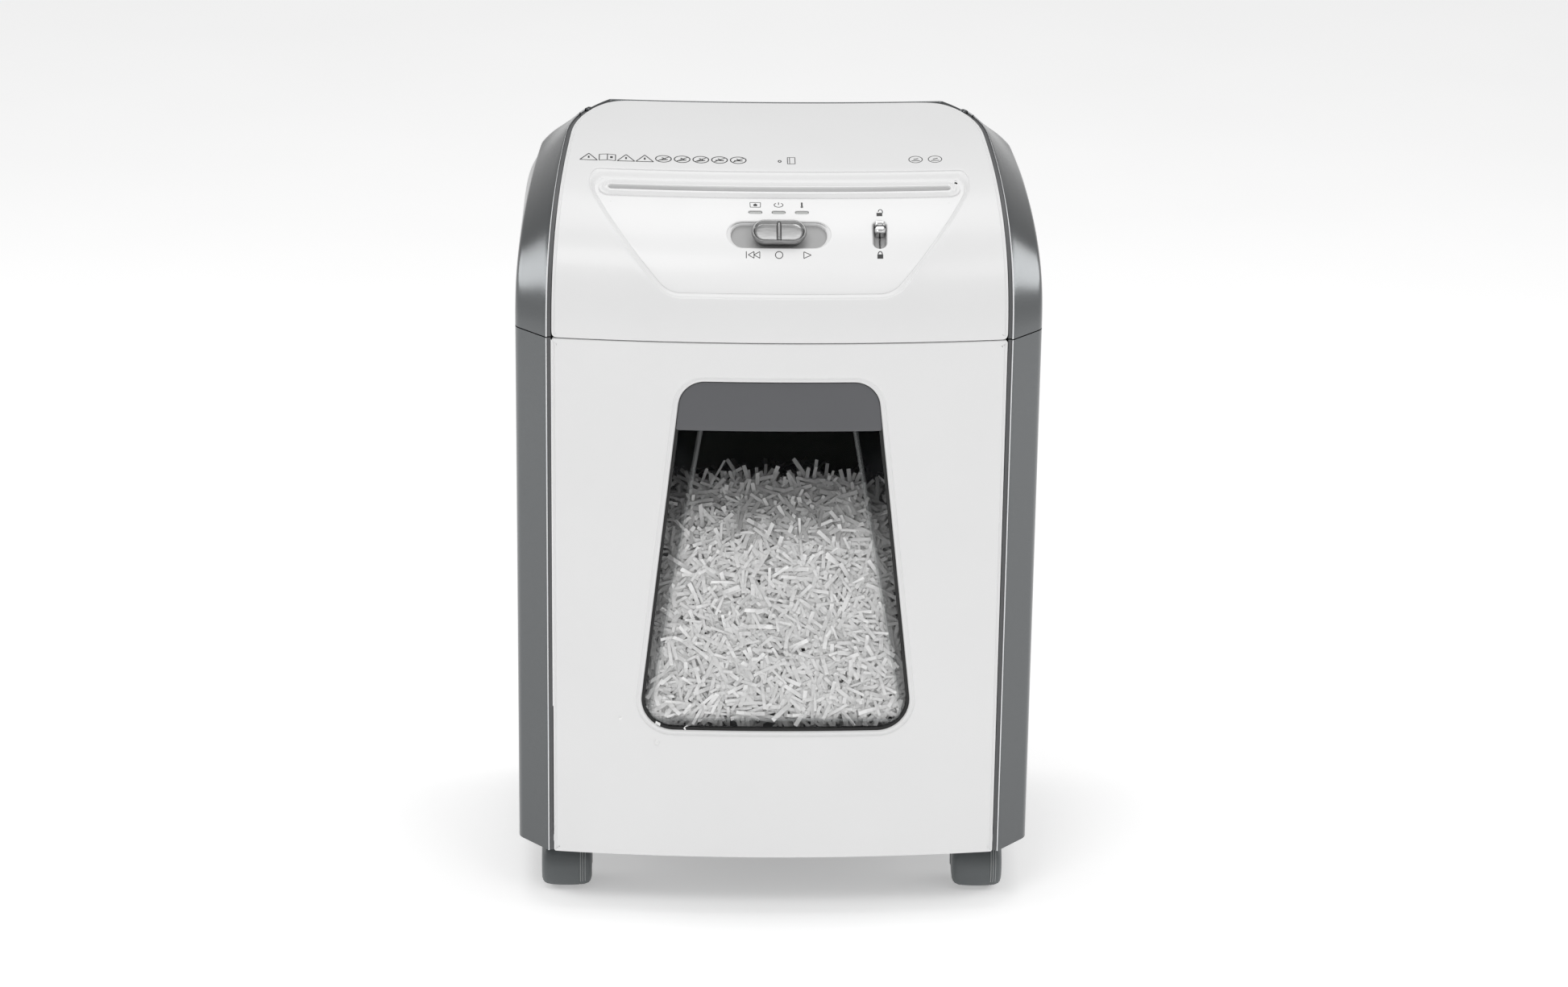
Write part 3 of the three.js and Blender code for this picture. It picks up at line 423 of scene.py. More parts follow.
def plate(name, outer, holes, surface, thickness, material, spacing=3.0, radius=1.0, step=1.5,
          rims=None, depth=None, collars=None, painted_light_bands=None):
    """A closed plate that follows a surface, with rounded edges round it and its holes.

    rims gives, for each loop, extra (sideways, sink) stops after the rounded edge; sideways
    is away from the material and a stop may be arrays with one value for each point. depth
    is how far the plate's face lies below the surface at given flat points. collars gives
    stops of the same kind just inside the rounded edge, the innermost first; their middle
    bands take material 1, a painted shade line, where the edge runs up and down. The last
    keyword gives, for each loop, the material number of the bands that lead to its rim stops,
    used for painted highlight and painted shade.
    """
    rims = rims or {}
    collars = collars or {}
    painted_light_bands = painted_light_bands or {}
    depth = depth or (lambda points: np.zeros(len(points)))
    radii = radius if isinstance(radius, (list, tuple)) else [radius] * (1 + len(holes))
    loops, away = [], []
    for k, loop in enumerate([outer] + holes):
        loop = resample(loop, step)
        normal = loop_normals(loop) * (1 if k == 0 else -1)
        loops.append(loop)
        away.append(normal)
    starts = [-collars[k][0][0] if k in collars else r for k, r in enumerate(radii)]
    inner_loops = [loop - normal * r for loop, normal, r in zip(loops, away, starts)]
    flat, faces = triangulate(inner_loops, spacing)
    count = len(flat)
    base = depth(flat)
    points = [surface(flat, base), surface(flat, base + thickness)]
    all_faces = [tuple(f) for f in faces] + [tuple(count + i for i in f[::-1]) for f in faces]
    total = 2 * count
    start = 0
    kinds = [0] * len(all_faces)
    for k, (loop, normal, r) in enumerate(zip(loops, away, radii)):
        size = len(loop)
        first_turn = 0 if k in collars else 1
        beside = smooth(np.abs(normal[:, 0]), 0.75, 0.95)
        shade_lines = list((beside > 0.9).astype(int))
        stops = [(sideways, sink * beside) for sideways, sink in collars.get(k, [])[1:]]
        shade_line_turns = range(2, len(stops) - 1)
        stops += [(-r + r * math.sin(a), r - r * math.cos(a))
                  for a in np.linspace(0, math.pi / 2, 5)[first_turn:]]
        rim_start = len(stops)
        stops += rims.get(k, [(0.0, thickness)])
        ring = np.arange(start, start + size)
        for turn, (sideways, sink) in enumerate(stops):
            spot = loop + normal * np.asarray(sideways).reshape(-1, 1)
            points.append(surface(spot, depth(spot) + sink))
            new = np.arange(total, total + size)
            all_faces += ring_faces(ring, new, k > 0)
            # Band material numbers: the collar's middle bands on up-and-down edges take the painted
            # shade line, other bands the painted highlight or painted shade number given for their turn,
            # else the plain material.
            ink_and_painted_light = painted_light_bands.get(k, {}).get(turn - rim_start, 0)
            kinds += shade_lines if turn in shade_line_turns else [ink_and_painted_light] * size
            total += size
            ring = new
        all_faces += ring_faces(ring, np.arange(count + start, count + start + size), k > 0)
        kinds += [0] * size
        start += size
    obj = make_object(name, np.vstack(points), all_faces, material)
    if (collars or painted_light_bands) and len(obj.data.polygons) == len(kinds):
        obj.data.polygons.foreach_set("material_index", kinds)
    return obj


def ring_faces(first, second, flip):
    """Faces between two rings of the same size; the outside is away from the first."""
    faces = []
    size = len(first)
    for i in range(size):
        j = (i + 1) % size
        quad = (first[i], second[i], second[j], first[j])
        faces.append(quad[::-1] if flip else quad)
    return faces


def stacked(name, rings, material, sharp=38.0):
    """Joins rings of points, one above the other, and closes the ends."""
    size = len(rings[0])
    faces = []
    for k in range(len(rings) - 1):
        faces += ring_faces(range(k * size, (k + 1) * size), range((k + 1) * size, (k + 2) * size),
                            False)
    faces.append(tuple(range(size)))
    faces.append(tuple(range((len(rings) - 1) * size, len(rings) * size))[::-1])
    return fix_facing(make_object(name, np.vstack(rings), faces, material, sharp))


def grid_solid(name, outer, inner, material, sharp=38.0):
    """A closed wall between two grids of points of the same size."""
    rows, columns = outer.shape[:2]
    index = np.arange(rows * columns).reshape(rows, columns)
    back = index + rows * columns
    faces = []
    for i in range(rows - 1):
        for j in range(columns - 1):
            faces.append((index[i, j], index[i + 1, j], index[i + 1, j + 1], index[i, j + 1]))
            faces.append((back[i, j], back[i, j + 1], back[i + 1, j + 1], back[i + 1, j]))
    for i in range(rows - 1):
        faces.append((index[i, 0], back[i, 0], back[i + 1, 0], index[i + 1, 0]))
        faces.append((index[i, -1], index[i + 1, -1], back[i + 1, -1], back[i, -1]))
    for j in range(columns - 1):
        faces.append((index[0, j], index[0, j + 1], back[0, j + 1], back[0, j]))
        faces.append((index[-1, j], back[-1, j], back[-1, j + 1], index[-1, j + 1]))
    points = np.vstack([outer.reshape(-1, 3), inner.reshape(-1, 3)])
    return fix_facing(make_object(name, points, faces, material, sharp))


def fix_facing(obj):
    """Turns all faces round when a closed mesh is inside out."""
    mesh = obj.data
    mesh.calc_loop_triangles()
    co = np.zeros(len(mesh.vertices) * 3)
    mesh.vertices.foreach_get("co", co)
    co = co.reshape(-1, 3)
    tri = np.array([t.vertices[:] for t in mesh.loop_triangles])
    volume = np.einsum("ij,ij->i", co[tri[:, 0]], np.cross(co[tri[:, 1]], co[tri[:, 2]])).sum()
    if volume < 0:
        mesh.flip_normals()
    return obj


def turned(name, profile, segments, material, origin, axis="X"):
    """A turned piece from (radius, distance along the axis) points."""
    rings = []
    angles = np.linspace(0, 2 * math.pi, segments, endpoint=False)
    for radius, along in profile:
        circle = np.stack([np.full(segments, along), radius * np.cos(angles),
                           radius * np.sin(angles)], 1)
        rings.append(circle if axis == "X" else circle[:, [1, 2, 0]])
    return stacked(name, [ring + np.array(origin) for ring in rings], material, 30.0)


# -------------------- materials
def new_material(name):
    material = bpy.data.materials.new(name)
    material.use_nodes = True
    tree = material.node_tree
    return material, tree, tree.nodes["Principled BSDF"]


def put(shader, **values):
    """Sets a node's inputs; an underscore stands for a space in their names."""
    for key, value in values.items():
        shader.inputs[key.replace("_", " ")].default_value = value


def noise(tree, scale, detail=3.0, stretch=(1, 1, 1)):
    where = tree.nodes.new("ShaderNodeTexCoord")
    mapping = tree.nodes.new("ShaderNodeMapping")
    put(mapping, Scale=stretch)
    tree.links.new(where.outputs["Object"], mapping.inputs["Vector"])
    texture = tree.nodes.new("ShaderNodeTexNoise")
    put(texture, Scale=scale, Detail=detail)
    tree.links.new(mapping.outputs["Vector"], texture.inputs["Vector"])
    return texture


def spread(tree, source, low, high):
    """Maps a 0..1 output to a range of values."""
    made = tree.nodes.new("ShaderNodeMapRange")
    put(made, To_Min=low, To_Max=high)
    tree.links.new(source, made.inputs["Value"])
    return made.outputs["Result"]


def tint(tree, source, dark, light, low=0.3, high=0.7):
    made = tree.nodes.new("ShaderNodeValToRGB")
    made.color_ramp.elements[0].position = low
    made.color_ramp.elements[1].position = high
    made.color_ramp.elements[0].color = (*dark, 1)
    made.color_ramp.elements[1].color = (*light, 1)
    tree.links.new(source, made.inputs["Fac"])
    return made.outputs["Color"]


def add_bump(tree, shader, height, strength, distance):
    made = tree.nodes.new("ShaderNodeBump")
    put(made, Strength=strength, Distance=distance)
    tree.links.new(height, made.inputs["Height"])
    tree.links.new(made.outputs["Normal"], shader.inputs["Normal"])


def surface_look(tree, shader, colour_source, dark, light, gloss_source, low, high):
    """Links a two-colour tint and a range of roughness to a shader."""
    tree.links.new(tint(tree, colour_source.outputs["Fac"], dark, light), shader.inputs["Base Color"])
    tree.links.new(spread(tree, gloss_source.outputs["Fac"], low, high), shader.inputs["Roughness"])


def plastic(name, colour, roughness, grain=900.0, bump=0.05, vary=0.04, coat=0.0):
    """Moulded plastic: fine moulded texture, slight mottling in colour and gloss."""
    material, tree, shader = new_material(name)
    fine = noise(tree, grain, 2.0)
    broad = noise(tree, 14.0, 4.0)
    low = tuple(c * (1 - vary) for c in colour)
    high = tuple(min(1, c * (1 + vary)) for c in colour)
    surface_look(tree, shader, broad, low, high, fine, roughness * 0.88, roughness * 1.12)
    add_bump(tree, shader, fine.outputs["Fac"], bump, 0.0004)
    put(shader, Coat_Weight=coat, Coat_Roughness=0.12)
    return material


def silver_paint(name):
    """Metallic silver-grey paint: tiny flakes under a clear coat."""
    material, tree, shader = new_material(name)
    flakes = noise(tree, 2600.0, 1.0)
    broad = noise(tree, 9.0, 3.0)
    surface_look(tree, shader, flakes, (0.092, 0.097, 0.100), (0.130, 0.136, 0.140), broad, 0.2, 0.25)
    add_bump(tree, shader, flakes.outputs["Fac"], 0.06, 0.0002)
    put(shader, Metallic=0.85, Coat_Weight=0.2, Coat_Roughness=0.15)
    return material


def bare_metal(name, colour, roughness, stretch=(1, 1, 1), scale=300.0, bump=0.1):
    material, tree, shader = new_material(name)
    lines = noise(tree, scale, 4.0, stretch)
    low = tuple(c * 0.85 for c in colour)
    high = tuple(min(1, c * 1.12) for c in colour)
    surface_look(tree, shader, lines, low, high, lines, roughness * 0.75, roughness * 1.3)
    add_bump(tree, shader, lines.outputs["Fac"], bump, 0.0002)
    put(shader, Metallic=1.0)
    return material


def clear_plastic(name, alpha, colour=(0.012, 0.013, 0.014), roughness=0.06):
    """Smoked clear moulding with faint flow marks."""
    material, tree, shader = new_material(name)
    marks = noise(tree, 30.0, 2.0, (1, 1, 0.3))
    low = tuple(c * 0.8 for c in colour)
    surface_look(tree, shader, marks, low, colour, marks, roughness * 0.8, roughness * 1.2)
    put(shader, Alpha=alpha)
    material.surface_render_method = "BLENDED"
    return material


def paper_material(name):
    """Plain office paper: every strip a slightly different white, with faint fibres; the same per-point
    value also darkens paper deep in the bin as painted shade.
    """
    material, tree, shader = new_material(name)
    info = tree.nodes.new("ShaderNodeAttribute")
    info.attribute_name = "tone_and_painted_shade"
    fibre = noise(tree, 1800.0, 4.0)
    blend = tree.nodes.new("ShaderNodeMix")
    blend.data_type = "RGBA"
    blend.blend_type = "MULTIPLY"
    put(blend, Factor=1.0)
    # The dark end of this tint is painted shade for paper deep in the closed bin.
    tone_and_painted_shade = tint(tree, info.outputs["Fac"], (0.06, 0.06, 0.06), (0.97, 0.97, 0.965), 0.0, 1.0)
    tree.links.new(tone_and_painted_shade, blend.inputs["A"])
    tree.links.new(tint(tree, fibre.outputs["Fac"], (0.93, 0.93, 0.93), (1, 1, 1)), blend.inputs["B"])
    tree.links.new(blend.outputs["Result"], shader.inputs["Base Color"])
    add_bump(tree, shader, fibre.outputs["Fac"], 0.1, 0.0001)
    put(shader, Roughness=0.75, Specular_IOR_Level=0.2)
    return material


WHITE = plastic("white_shell", (0.80, 0.80, 0.80), 0.34, vary=0.008, bump=0.03, coat=0.1)
# Painted shade: a grey copy of the white plastic for thin lines along the white parts' side edges and
# round the window, standing in for shade in shallow grooves.
WHITE_SHADE_LINE = plastic("white_painted_shade_line", (0.47, 0.47, 0.47), 0.4, vary=0.01, bump=0.03)
# Painted highlight: a lighter copy of the white plastic for rounded edges and the panel recess's sloping
# rim, standing in for light they catch.
RIM_HIGHLIGHT = plastic("rim_painted_highlight", (0.95, 0.95, 0.95), 0.3, vary=0.004, bump=0.02)
PANEL = plastic("panel_white", (0.86, 0.86, 0.86), 0.36, vary=0.008, bump=0.03, coat=0.1)
SILVER = silver_paint("silver_side")
# Painted highlight: a light, near-white copy of the side paint for the sides' rounded front edges,
# standing in for light caught there.
SILVER_EDGE_HIGHLIGHT = plastic("silver_painted_highlight", (0.82, 0.83, 0.84), 0.3, grain=800, bump=0.03, vary=0.02)
# Painted shade: a dark material for the ledge in the groove beside the white parts, standing in for the
# groove's shadow.
GROOVE_SHADE = plastic("groove_painted_shade", (0.11, 0.112, 0.115), 0.5, bump=0.05)
CHARCOAL = plastic("charcoal_plastic", (0.045, 0.048, 0.05), 0.5, grain=700, bump=0.15, vary=0.1)
CASTER_GREY = plastic("caster_plastic", (0.100, 0.110, 0.113), 0.4, grain=800, bump=0.08, vary=0.08)
# Painted highlight: a light grey copy of the caster plastic for the rings on the hood, standing in for
# light they catch.
CASTER_RING_HIGHLIGHT = plastic("caster_ring_highlight", (0.36, 0.37, 0.37), 0.35, bump=0.04)
HANDLE = plastic("handle_plastic", (0.098, 0.100, 0.107), 0.42, grain=1500, bump=0.12, vary=0.03)
SEAL = plastic("gasket_rubber", (0.006, 0.006, 0.006), 0.55, bump=0.1)
GUIDE = plastic("guide_plastic", (0.36, 0.36, 0.36), 0.45, bump=0.08)
WELL_GREY = plastic("well_plastic", (0.40, 0.40, 0.40), 0.4, bump=0.06)
LENS = plastic("led_lens", (0.42, 0.43, 0.42), 0.25, bump=0.02, coat=0.4)
SYMBOL = plastic("symbol_print", (0.04, 0.04, 0.04), 0.5, bump=0.03)
KNOB = bare_metal("knob_metal", (0.31, 0.31, 0.31), 0.3, (1, 8, 8), 160, 0.04)
CHROME = bare_metal("knob_chrome", (0.62, 0.62, 0.62), 0.16, (1, 1, 1), 120, 0.02)
STEEL = bare_metal("cutter_steel", (0.42, 0.42, 0.43), 0.32, (14, 1, 1), 90, 0.1)
MOTOR_CAN = plastic("motor_can", (0.05, 0.052, 0.055), 0.45, grain=400, bump=0.1)
NYLON = plastic("gear_nylon", (0.68, 0.65, 0.54), 0.4, bump=0.08)
BOARD = plastic("circuit_board", (0.02, 0.11, 0.045), 0.4, grain=200, bump=0.1, vary=0.2)
TREAD = plastic("wheel_tread", (0.02, 0.021, 0.022), 0.6, grain=500, bump=0.2, vary=0.12)
PAPER = paper_material("paper")
PANE = clear_plastic("clear_pane", 0.05)
CHEEK = clear_plastic("clear_pane_side", 0.28)
# Painted highlight: a lighter, less clear copy of the pane's plastic for the tray's edges.
PANE_EDGE_HIGHLIGHT = clear_plastic("clear_pane_edge_highlight", 0.4, (0.25, 0.26, 0.26), 0.2)


def dress(name, material, edge, segments=2):
    """Gives a piece kept from the design its material and soft edges."""
    obj = frame["nodes"][name]
    obj.data.materials.clear()
    obj.data.materials.append(material)
    bevel(obj, edge, segments, 32.0)


def finish(obj, body, slot, *replaced):
    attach(obj, body)
    if replaced:
        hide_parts(*replaced)


# -------------------- head cover
def panel_outline():
    low, wide_low, wide_top = 30, 75, 132
    corners = [(-wide_low, low), (wide_low, low), (wide_top, PANEL_TOP), (-wide_top, PANEL_TOP)]
    loop = fillet(corners, [22, 22, 5.4, 5.4], 16)
    loop = resample(loop, 1.0)
    return np.stack([loop[:, 0], length_at_height(loop[:, 1])], 1)


def cover_outline():
    bottom = float(length_at_height(SEAM_GAP))
    top = float(_lengths[np.searchsorted(_depths, COVER_DEPTH)])
    side = np.linspace(bottom, top, 120)
    half = cover_half(depth_at_length(side))
    right = np.stack([half, side], 1)
    left = np.stack([-half[::-1], side[::-1]], 1)
    loop = resample(np.vstack([right, left]), 1.6)
    for sign in (-1, 1):
        loop = soften(loop, (sign * half[-1], top), 19, 70)
        loop = soften(loop, (sign * half[0], bottom), 4, 4)
    return loop


PANEL_LOOP = panel_outline()
TOP_LENGTH = float(length_at_height(PANEL_TOP))
PANEL_REACH = 3.0
PANEL_REACH_TOP = 7.5
PANEL_GAP = 0.06


def panel_border():
    """The recess's border and how wide its sloping rim is there."""
    loop = resample(PANEL_LOOP, 1.5)
    top = smooth(loop[:, 1], TOP_LENGTH - 16, TOP_LENGTH - 3)
    return loop, PANEL_REACH + (PANEL_REACH_TOP - PANEL_REACH) * top


def panel_depth(points):
    """The panel lies deeper towards its upper edge."""
    deeper_from, shallow, extra = float(length_at_height(58)), 2.5, 1.1
    return shallow + extra * smooth(points[:, 1], deeper_from, TOP_LENGTH - 6)


# Stops (sideways, sink) of a shallow line just inside the white parts' edges, painted grey as shade
# where the edges run up and down, and the material numbers of the rounded edge outside it, a painted
# highlight.
# The white plastic, its painted shade copy and its painted highlight copy.
SHELL_LOOKS = [WHITE, WHITE_SHADE_LINE, RIM_HIGHLIGHT]
COLLAR = [(-3.4, 0.0), (-2.45, 0.02), (-2.2, 0.35), (-1.75, 0.55), (-1.35, 0.5), (-1.1, 0.1)]
EDGE_HIGHLIGHTS = {-5: 2, -4: 2, -3: 2, -2: 2}


def build_cover():
    loop, reach = panel_border()
    goal = panel_depth(loop) + 0.1
    stops = []
    for t in np.linspace(0.12, 1, 7):
        stops.append((reach * t, 0.9 + (goal - 0.9) * (3 * t * t - 2 * t ** 3)))
    stops.append((reach, goal + 2.4))
    # The cover's rounded outer edge and the panel recess's sloping rim take the painted highlight copy
    # of the white.
    cover = plate("cover_skin", cover_outline(), [loop], head_surface, WALL, SHELL_LOOKS, spacing=3.2,
                  radius=[0.8, 0.9], step=1.5, rims={0: [(0.0, 6.0)], 1: stops}, collars={0: COLLAR},
                  painted_light_bands={0: EDGE_HIGHLIGHTS, 1: {k: 2 for k in range(7)}})
    finish(cover, "cabinet", "white_shell", "head_cover")


def local_frame(x, height):
    """Centre, right, up-slope and outward directions on the head."""
    s = float(length_at_height(height))
    centre = head_surface(np.array([[x, s]]))[0]
    above = head_surface(np.array([[x, s + 0.5]]))[0]
    up = (above - centre) / np.linalg.norm(above - centre)
    right = np.array([1.0, 0.0, 0.0])
    return centre, right, up, np.cross(right, up)


def raised(name, outline, steps, at, material, sharp=38.0):
    """A piece on the head from its level outlines: outline(inset) lifted by lift."""
    centre, right, up, out = at
    rings = []
    for inset, lift in steps:
        loop = outline(inset)
        rings.append(centre + loop[:, :1] * right + loop[:, 1:2] * up + lift * out)
    return stacked(name, rings, material, sharp)


FEED_LENGTH = float(np.interp(FEED_DEPTH + BULGE, _depths, _lengths))
MODE_LENGTH = float(length_at_height(MODE_HEIGHT))
LED_LENGTH = float(length_at_height(LED_HEIGHT))
LEDS = [("led_bin", CONTROL_X - LED_STEP), ("led_power", CONTROL_X), ("led_alert", CONTROL_X + LED_STEP)]


def build_panel():
    loop, reach = panel_border()
    loop = loop - loop_normals(loop) * (reach + PANEL_GAP).reshape(-1, 1)
    holes = [
        capsule(SLOT_HALF + 1.5, 4.0, (0, FEED_LENGTH)),
        capsule(34, 10.7, (CONTROL_X, MODE_LENGTH), 30),
        rounded_box(4.6, 11, 4.4, (LOCK_X, MODE_LENGTH)),
    ]
    holes += [capsule(4.7, 1.45, (x, LED_LENGTH)) for _, x in LEDS]
    around = resample(holes[1], 1.0)
    lean = 0.9 + 1.5 * loop_normals(around)[:, 0] ** 2
    rims = {0: [(0.0, 2.2)], 1: [(0.0, 3.0)], 2: [(lean * 0.85, 1.5), (lean, 1.9), (lean, 5.0)],
            3: [(0.3, 3.4), (0.5, 5.0)]}
    panel = plate("panel_skin", loop, holes, head_surface, 2.2, PANEL, spacing=2.6,
                  radius=[0.15, 0.6, 0.7, 1.1, 0.35, 0.35, 0.35], step=1.0, rims=rims, depth=panel_depth)
    finish(panel, "cabinet", "panel_white", "control_panel")


def build_bezel():
    def face(points):
        over = np.maximum(np.abs(points[:, 0]) - (SLOT_HALF - 2.4), 0)
        away = np.hypot(over, points[:, 1] - FEED_LENGTH)
        crest = np.exp(-((away - 5.4) / 0.9) ** 2)
        lip = np.exp(-((away - 3.0) / 0.55) ** 2)
        return 2.0 - 1.9 * crest - 1.0 * lip

    bezel = plate("feed_bezel_skin", capsule(119.6, 7.2, (0, FEED_LENGTH), 28),
                  [capsule(SLOT_HALF, 2.3, (0, FEED_LENGTH), 14)], head_surface, 3.0, PANEL,
                  spacing=0.86, radius=[0.8, 0.4], step=0.9, rims={0: [(0.0, 1.6)], 1: [(0.0, 9.0)]},
                  depth=face)
    finish(bezel, "cabinet", "panel_white", "feed_bezel")


# -------------------- wells, knobs, lenses
WELL_WALL = 1.6
WELL_TOP = -4.2


def build_well(name, outline, at, floor_depth, replaced):
    steps = [(WELL_WALL, -floor_depth - WELL_WALL), (WELL_WALL, WELL_TOP), (-0.1, WELL_TOP),
             (-0.3, -floor_depth + 0.8), (-1.1, -floor_depth)]
    finish(raised(name, outline, steps, at, WELL_GREY), "cabinet", "guide_plastic", replaced)


def build_mode_knob():
    at = local_frame(CONTROL_X, MODE_HEIGHT)
    steps = [(2.4, -6.6), (2.3, -6.0), (1.2, -3.6), (0.35, -1.6), (0.0, -0.4), (0.0, 0.9), (0.15, 1.5),
             (0.6, 1.9), (1.2, 1.95), (1.6, 1.6), (2.0, 0.8), (2.6, 0.35), (4.0, 0.1), (6.0, 0.0)]
    knob = raised("mode_knob_cap", lambda inset: capsule(18.0 - inset, 8.9 - inset, segments=28),
                  steps, at,
                  KNOB, 30)
    finish(knob, "mode_slider", "knob_metal", "mode_knob")
    ridge_rings = []
    for y in np.linspace(-7.6, 7.6, 19):
        shrink = math.sqrt(max(0.02, 1 - (abs(y) / 7.7) ** 8))
        arc = [(1.7 * shrink * math.cos(a), 2.1 * shrink * math.sin(a))
               for a in np.linspace(0, math.pi, 13)]
        ring = [at[0] + x * at[1] + y * at[2] + (z + 0.02) * at[3] for x, z in arc]
        ridge_rings.append(np.array(ring))
    ridge = stacked("mode_knob_ridge", ridge_rings, KNOB, 50)
    finish(ridge, "mode_slider", "knob_metal")


def build_lock_knob():
    at = local_frame(LOCK_X, MODE_HEIGHT)
    steps = [(0.0, -6.4), (0.0, -1.6), (0.15, -0.6), (0.7, 0.1), (1.4, 0.3), (2.2, 0.35)]
    for name, centre, half, turn in (("lock_knob_top", 7.1, 1.8, 1.5),
                                     ("lock_knob_body", 2.35, 2.5, 2.3)):
        def outline(inset):
            return rounded_box(3.5 - inset * 0.9, max(half - inset * 0.75, 0.3),
                               max(turn - inset * 0.8, 0.1),
                               (0, centre))

        finish(raised(name, outline, steps, at, CHROME, 30), "lock_slider", "knob_metal", "lock_knob")
    core = raised("lock_knob_core", lambda inset: rounded_box(3.0, 4.0, 0.8, (0, 4.4)),
                  [(0.0, -6.2), (0.0, -1.4)], at, CHARCOAL)
    finish(core, "lock_slider", "knob_metal")


def build_lenses():
    for name, x in LEDS:
        at = local_frame(x, LED_HEIGHT)
        sunk = float(panel_depth(np.array([[x, LED_LENGTH]]))[0])
        steps = [(0.0, -sunk - 3.2), (0.0, -sunk - 0.9), (0.25, -sunk - 0.55), (0.7, -sunk - 0.45)]
        lens = raised(name + "_lens", lambda inset: capsule(4.3 - inset, 1.08 - inset), steps, at, LENS)
        finish(lens, "cabinet", "led_lens", name)


# -------------------- printed symbols
STROKE = 1.2
PRINT_LIFT = 0.06


class Print:
    """Collects thin raised strokes that follow the head's surface."""

    def __init__(self, depth):
        self.points = []
        self.faces = []
        self.total = 0
        self.depth = depth

    def _add(self, flat, faces):
        sink = self.depth(flat)
        self.points += [head_surface(flat, sink - PRINT_LIFT), head_surface(flat, sink + PRINT_LIFT)]
        count = len(flat)
        for face in faces:
            self.faces.append([self.total + i for i in face])
            self.faces.append([self.total + count + i for i in face[::-1]])
        sides = {}
        for face in faces:
            for a, b in zip(face, face[1:] + face[:1]):
                sides[(a, b)] = sides.get((a, b), 0) + 1
        for a, b in sides:
            if (b, a) not in sides:
                self.faces.append([self.total + b, self.total + a, self.total + count + a,
                                   self.total + count + b])
        self.total += 2 * count

    def stroke(self, points, width, closed=False):
        line = np.array(points, float)
        if closed:
            direction = np.roll(line, -1, 0) - np.roll(line, 1, 0)
        else:
            direction = np.gradient(line, axis=0)
        direction /= np.linalg.norm(direction, axis=1)[:, None]
        across = np.stack([-direction[:, 1], direction[:, 0]], 1) * width * STROKE / 2
        flat = np.vstack([line - across, line + across])
        count = len(line)
        faces = []
        for i in range(count if closed else count - 1):
            j = (i + 1) % count
            faces.append([i, j, count + j, count + i])
        self._add(flat, faces)

    def fill(self, loop):
        self._add(np.array(loop, float), [list(range(len(loop)))])

    def circle(self, centre, radius_x, radius_y, width):
        angles = np.linspace(0, 2 * math.pi, 33)[:-1]
        ring = np.stack([centre[0] + radius_x * np.cos(angles),
                         centre[1] + radius_y * np.sin(angles)], 1)
        self.stroke(ring, width, True)

    def polygon(self, corners, width):
        dense = resample(np.array(corners, float), 0.35)
        self.stroke(dense, width, True)

    def build(self, name, material):
        obj = fix_facing(make_object(name, np.vstack(self.points), self.faces, material))
        finish(obj, "cabinet", "panel_white")


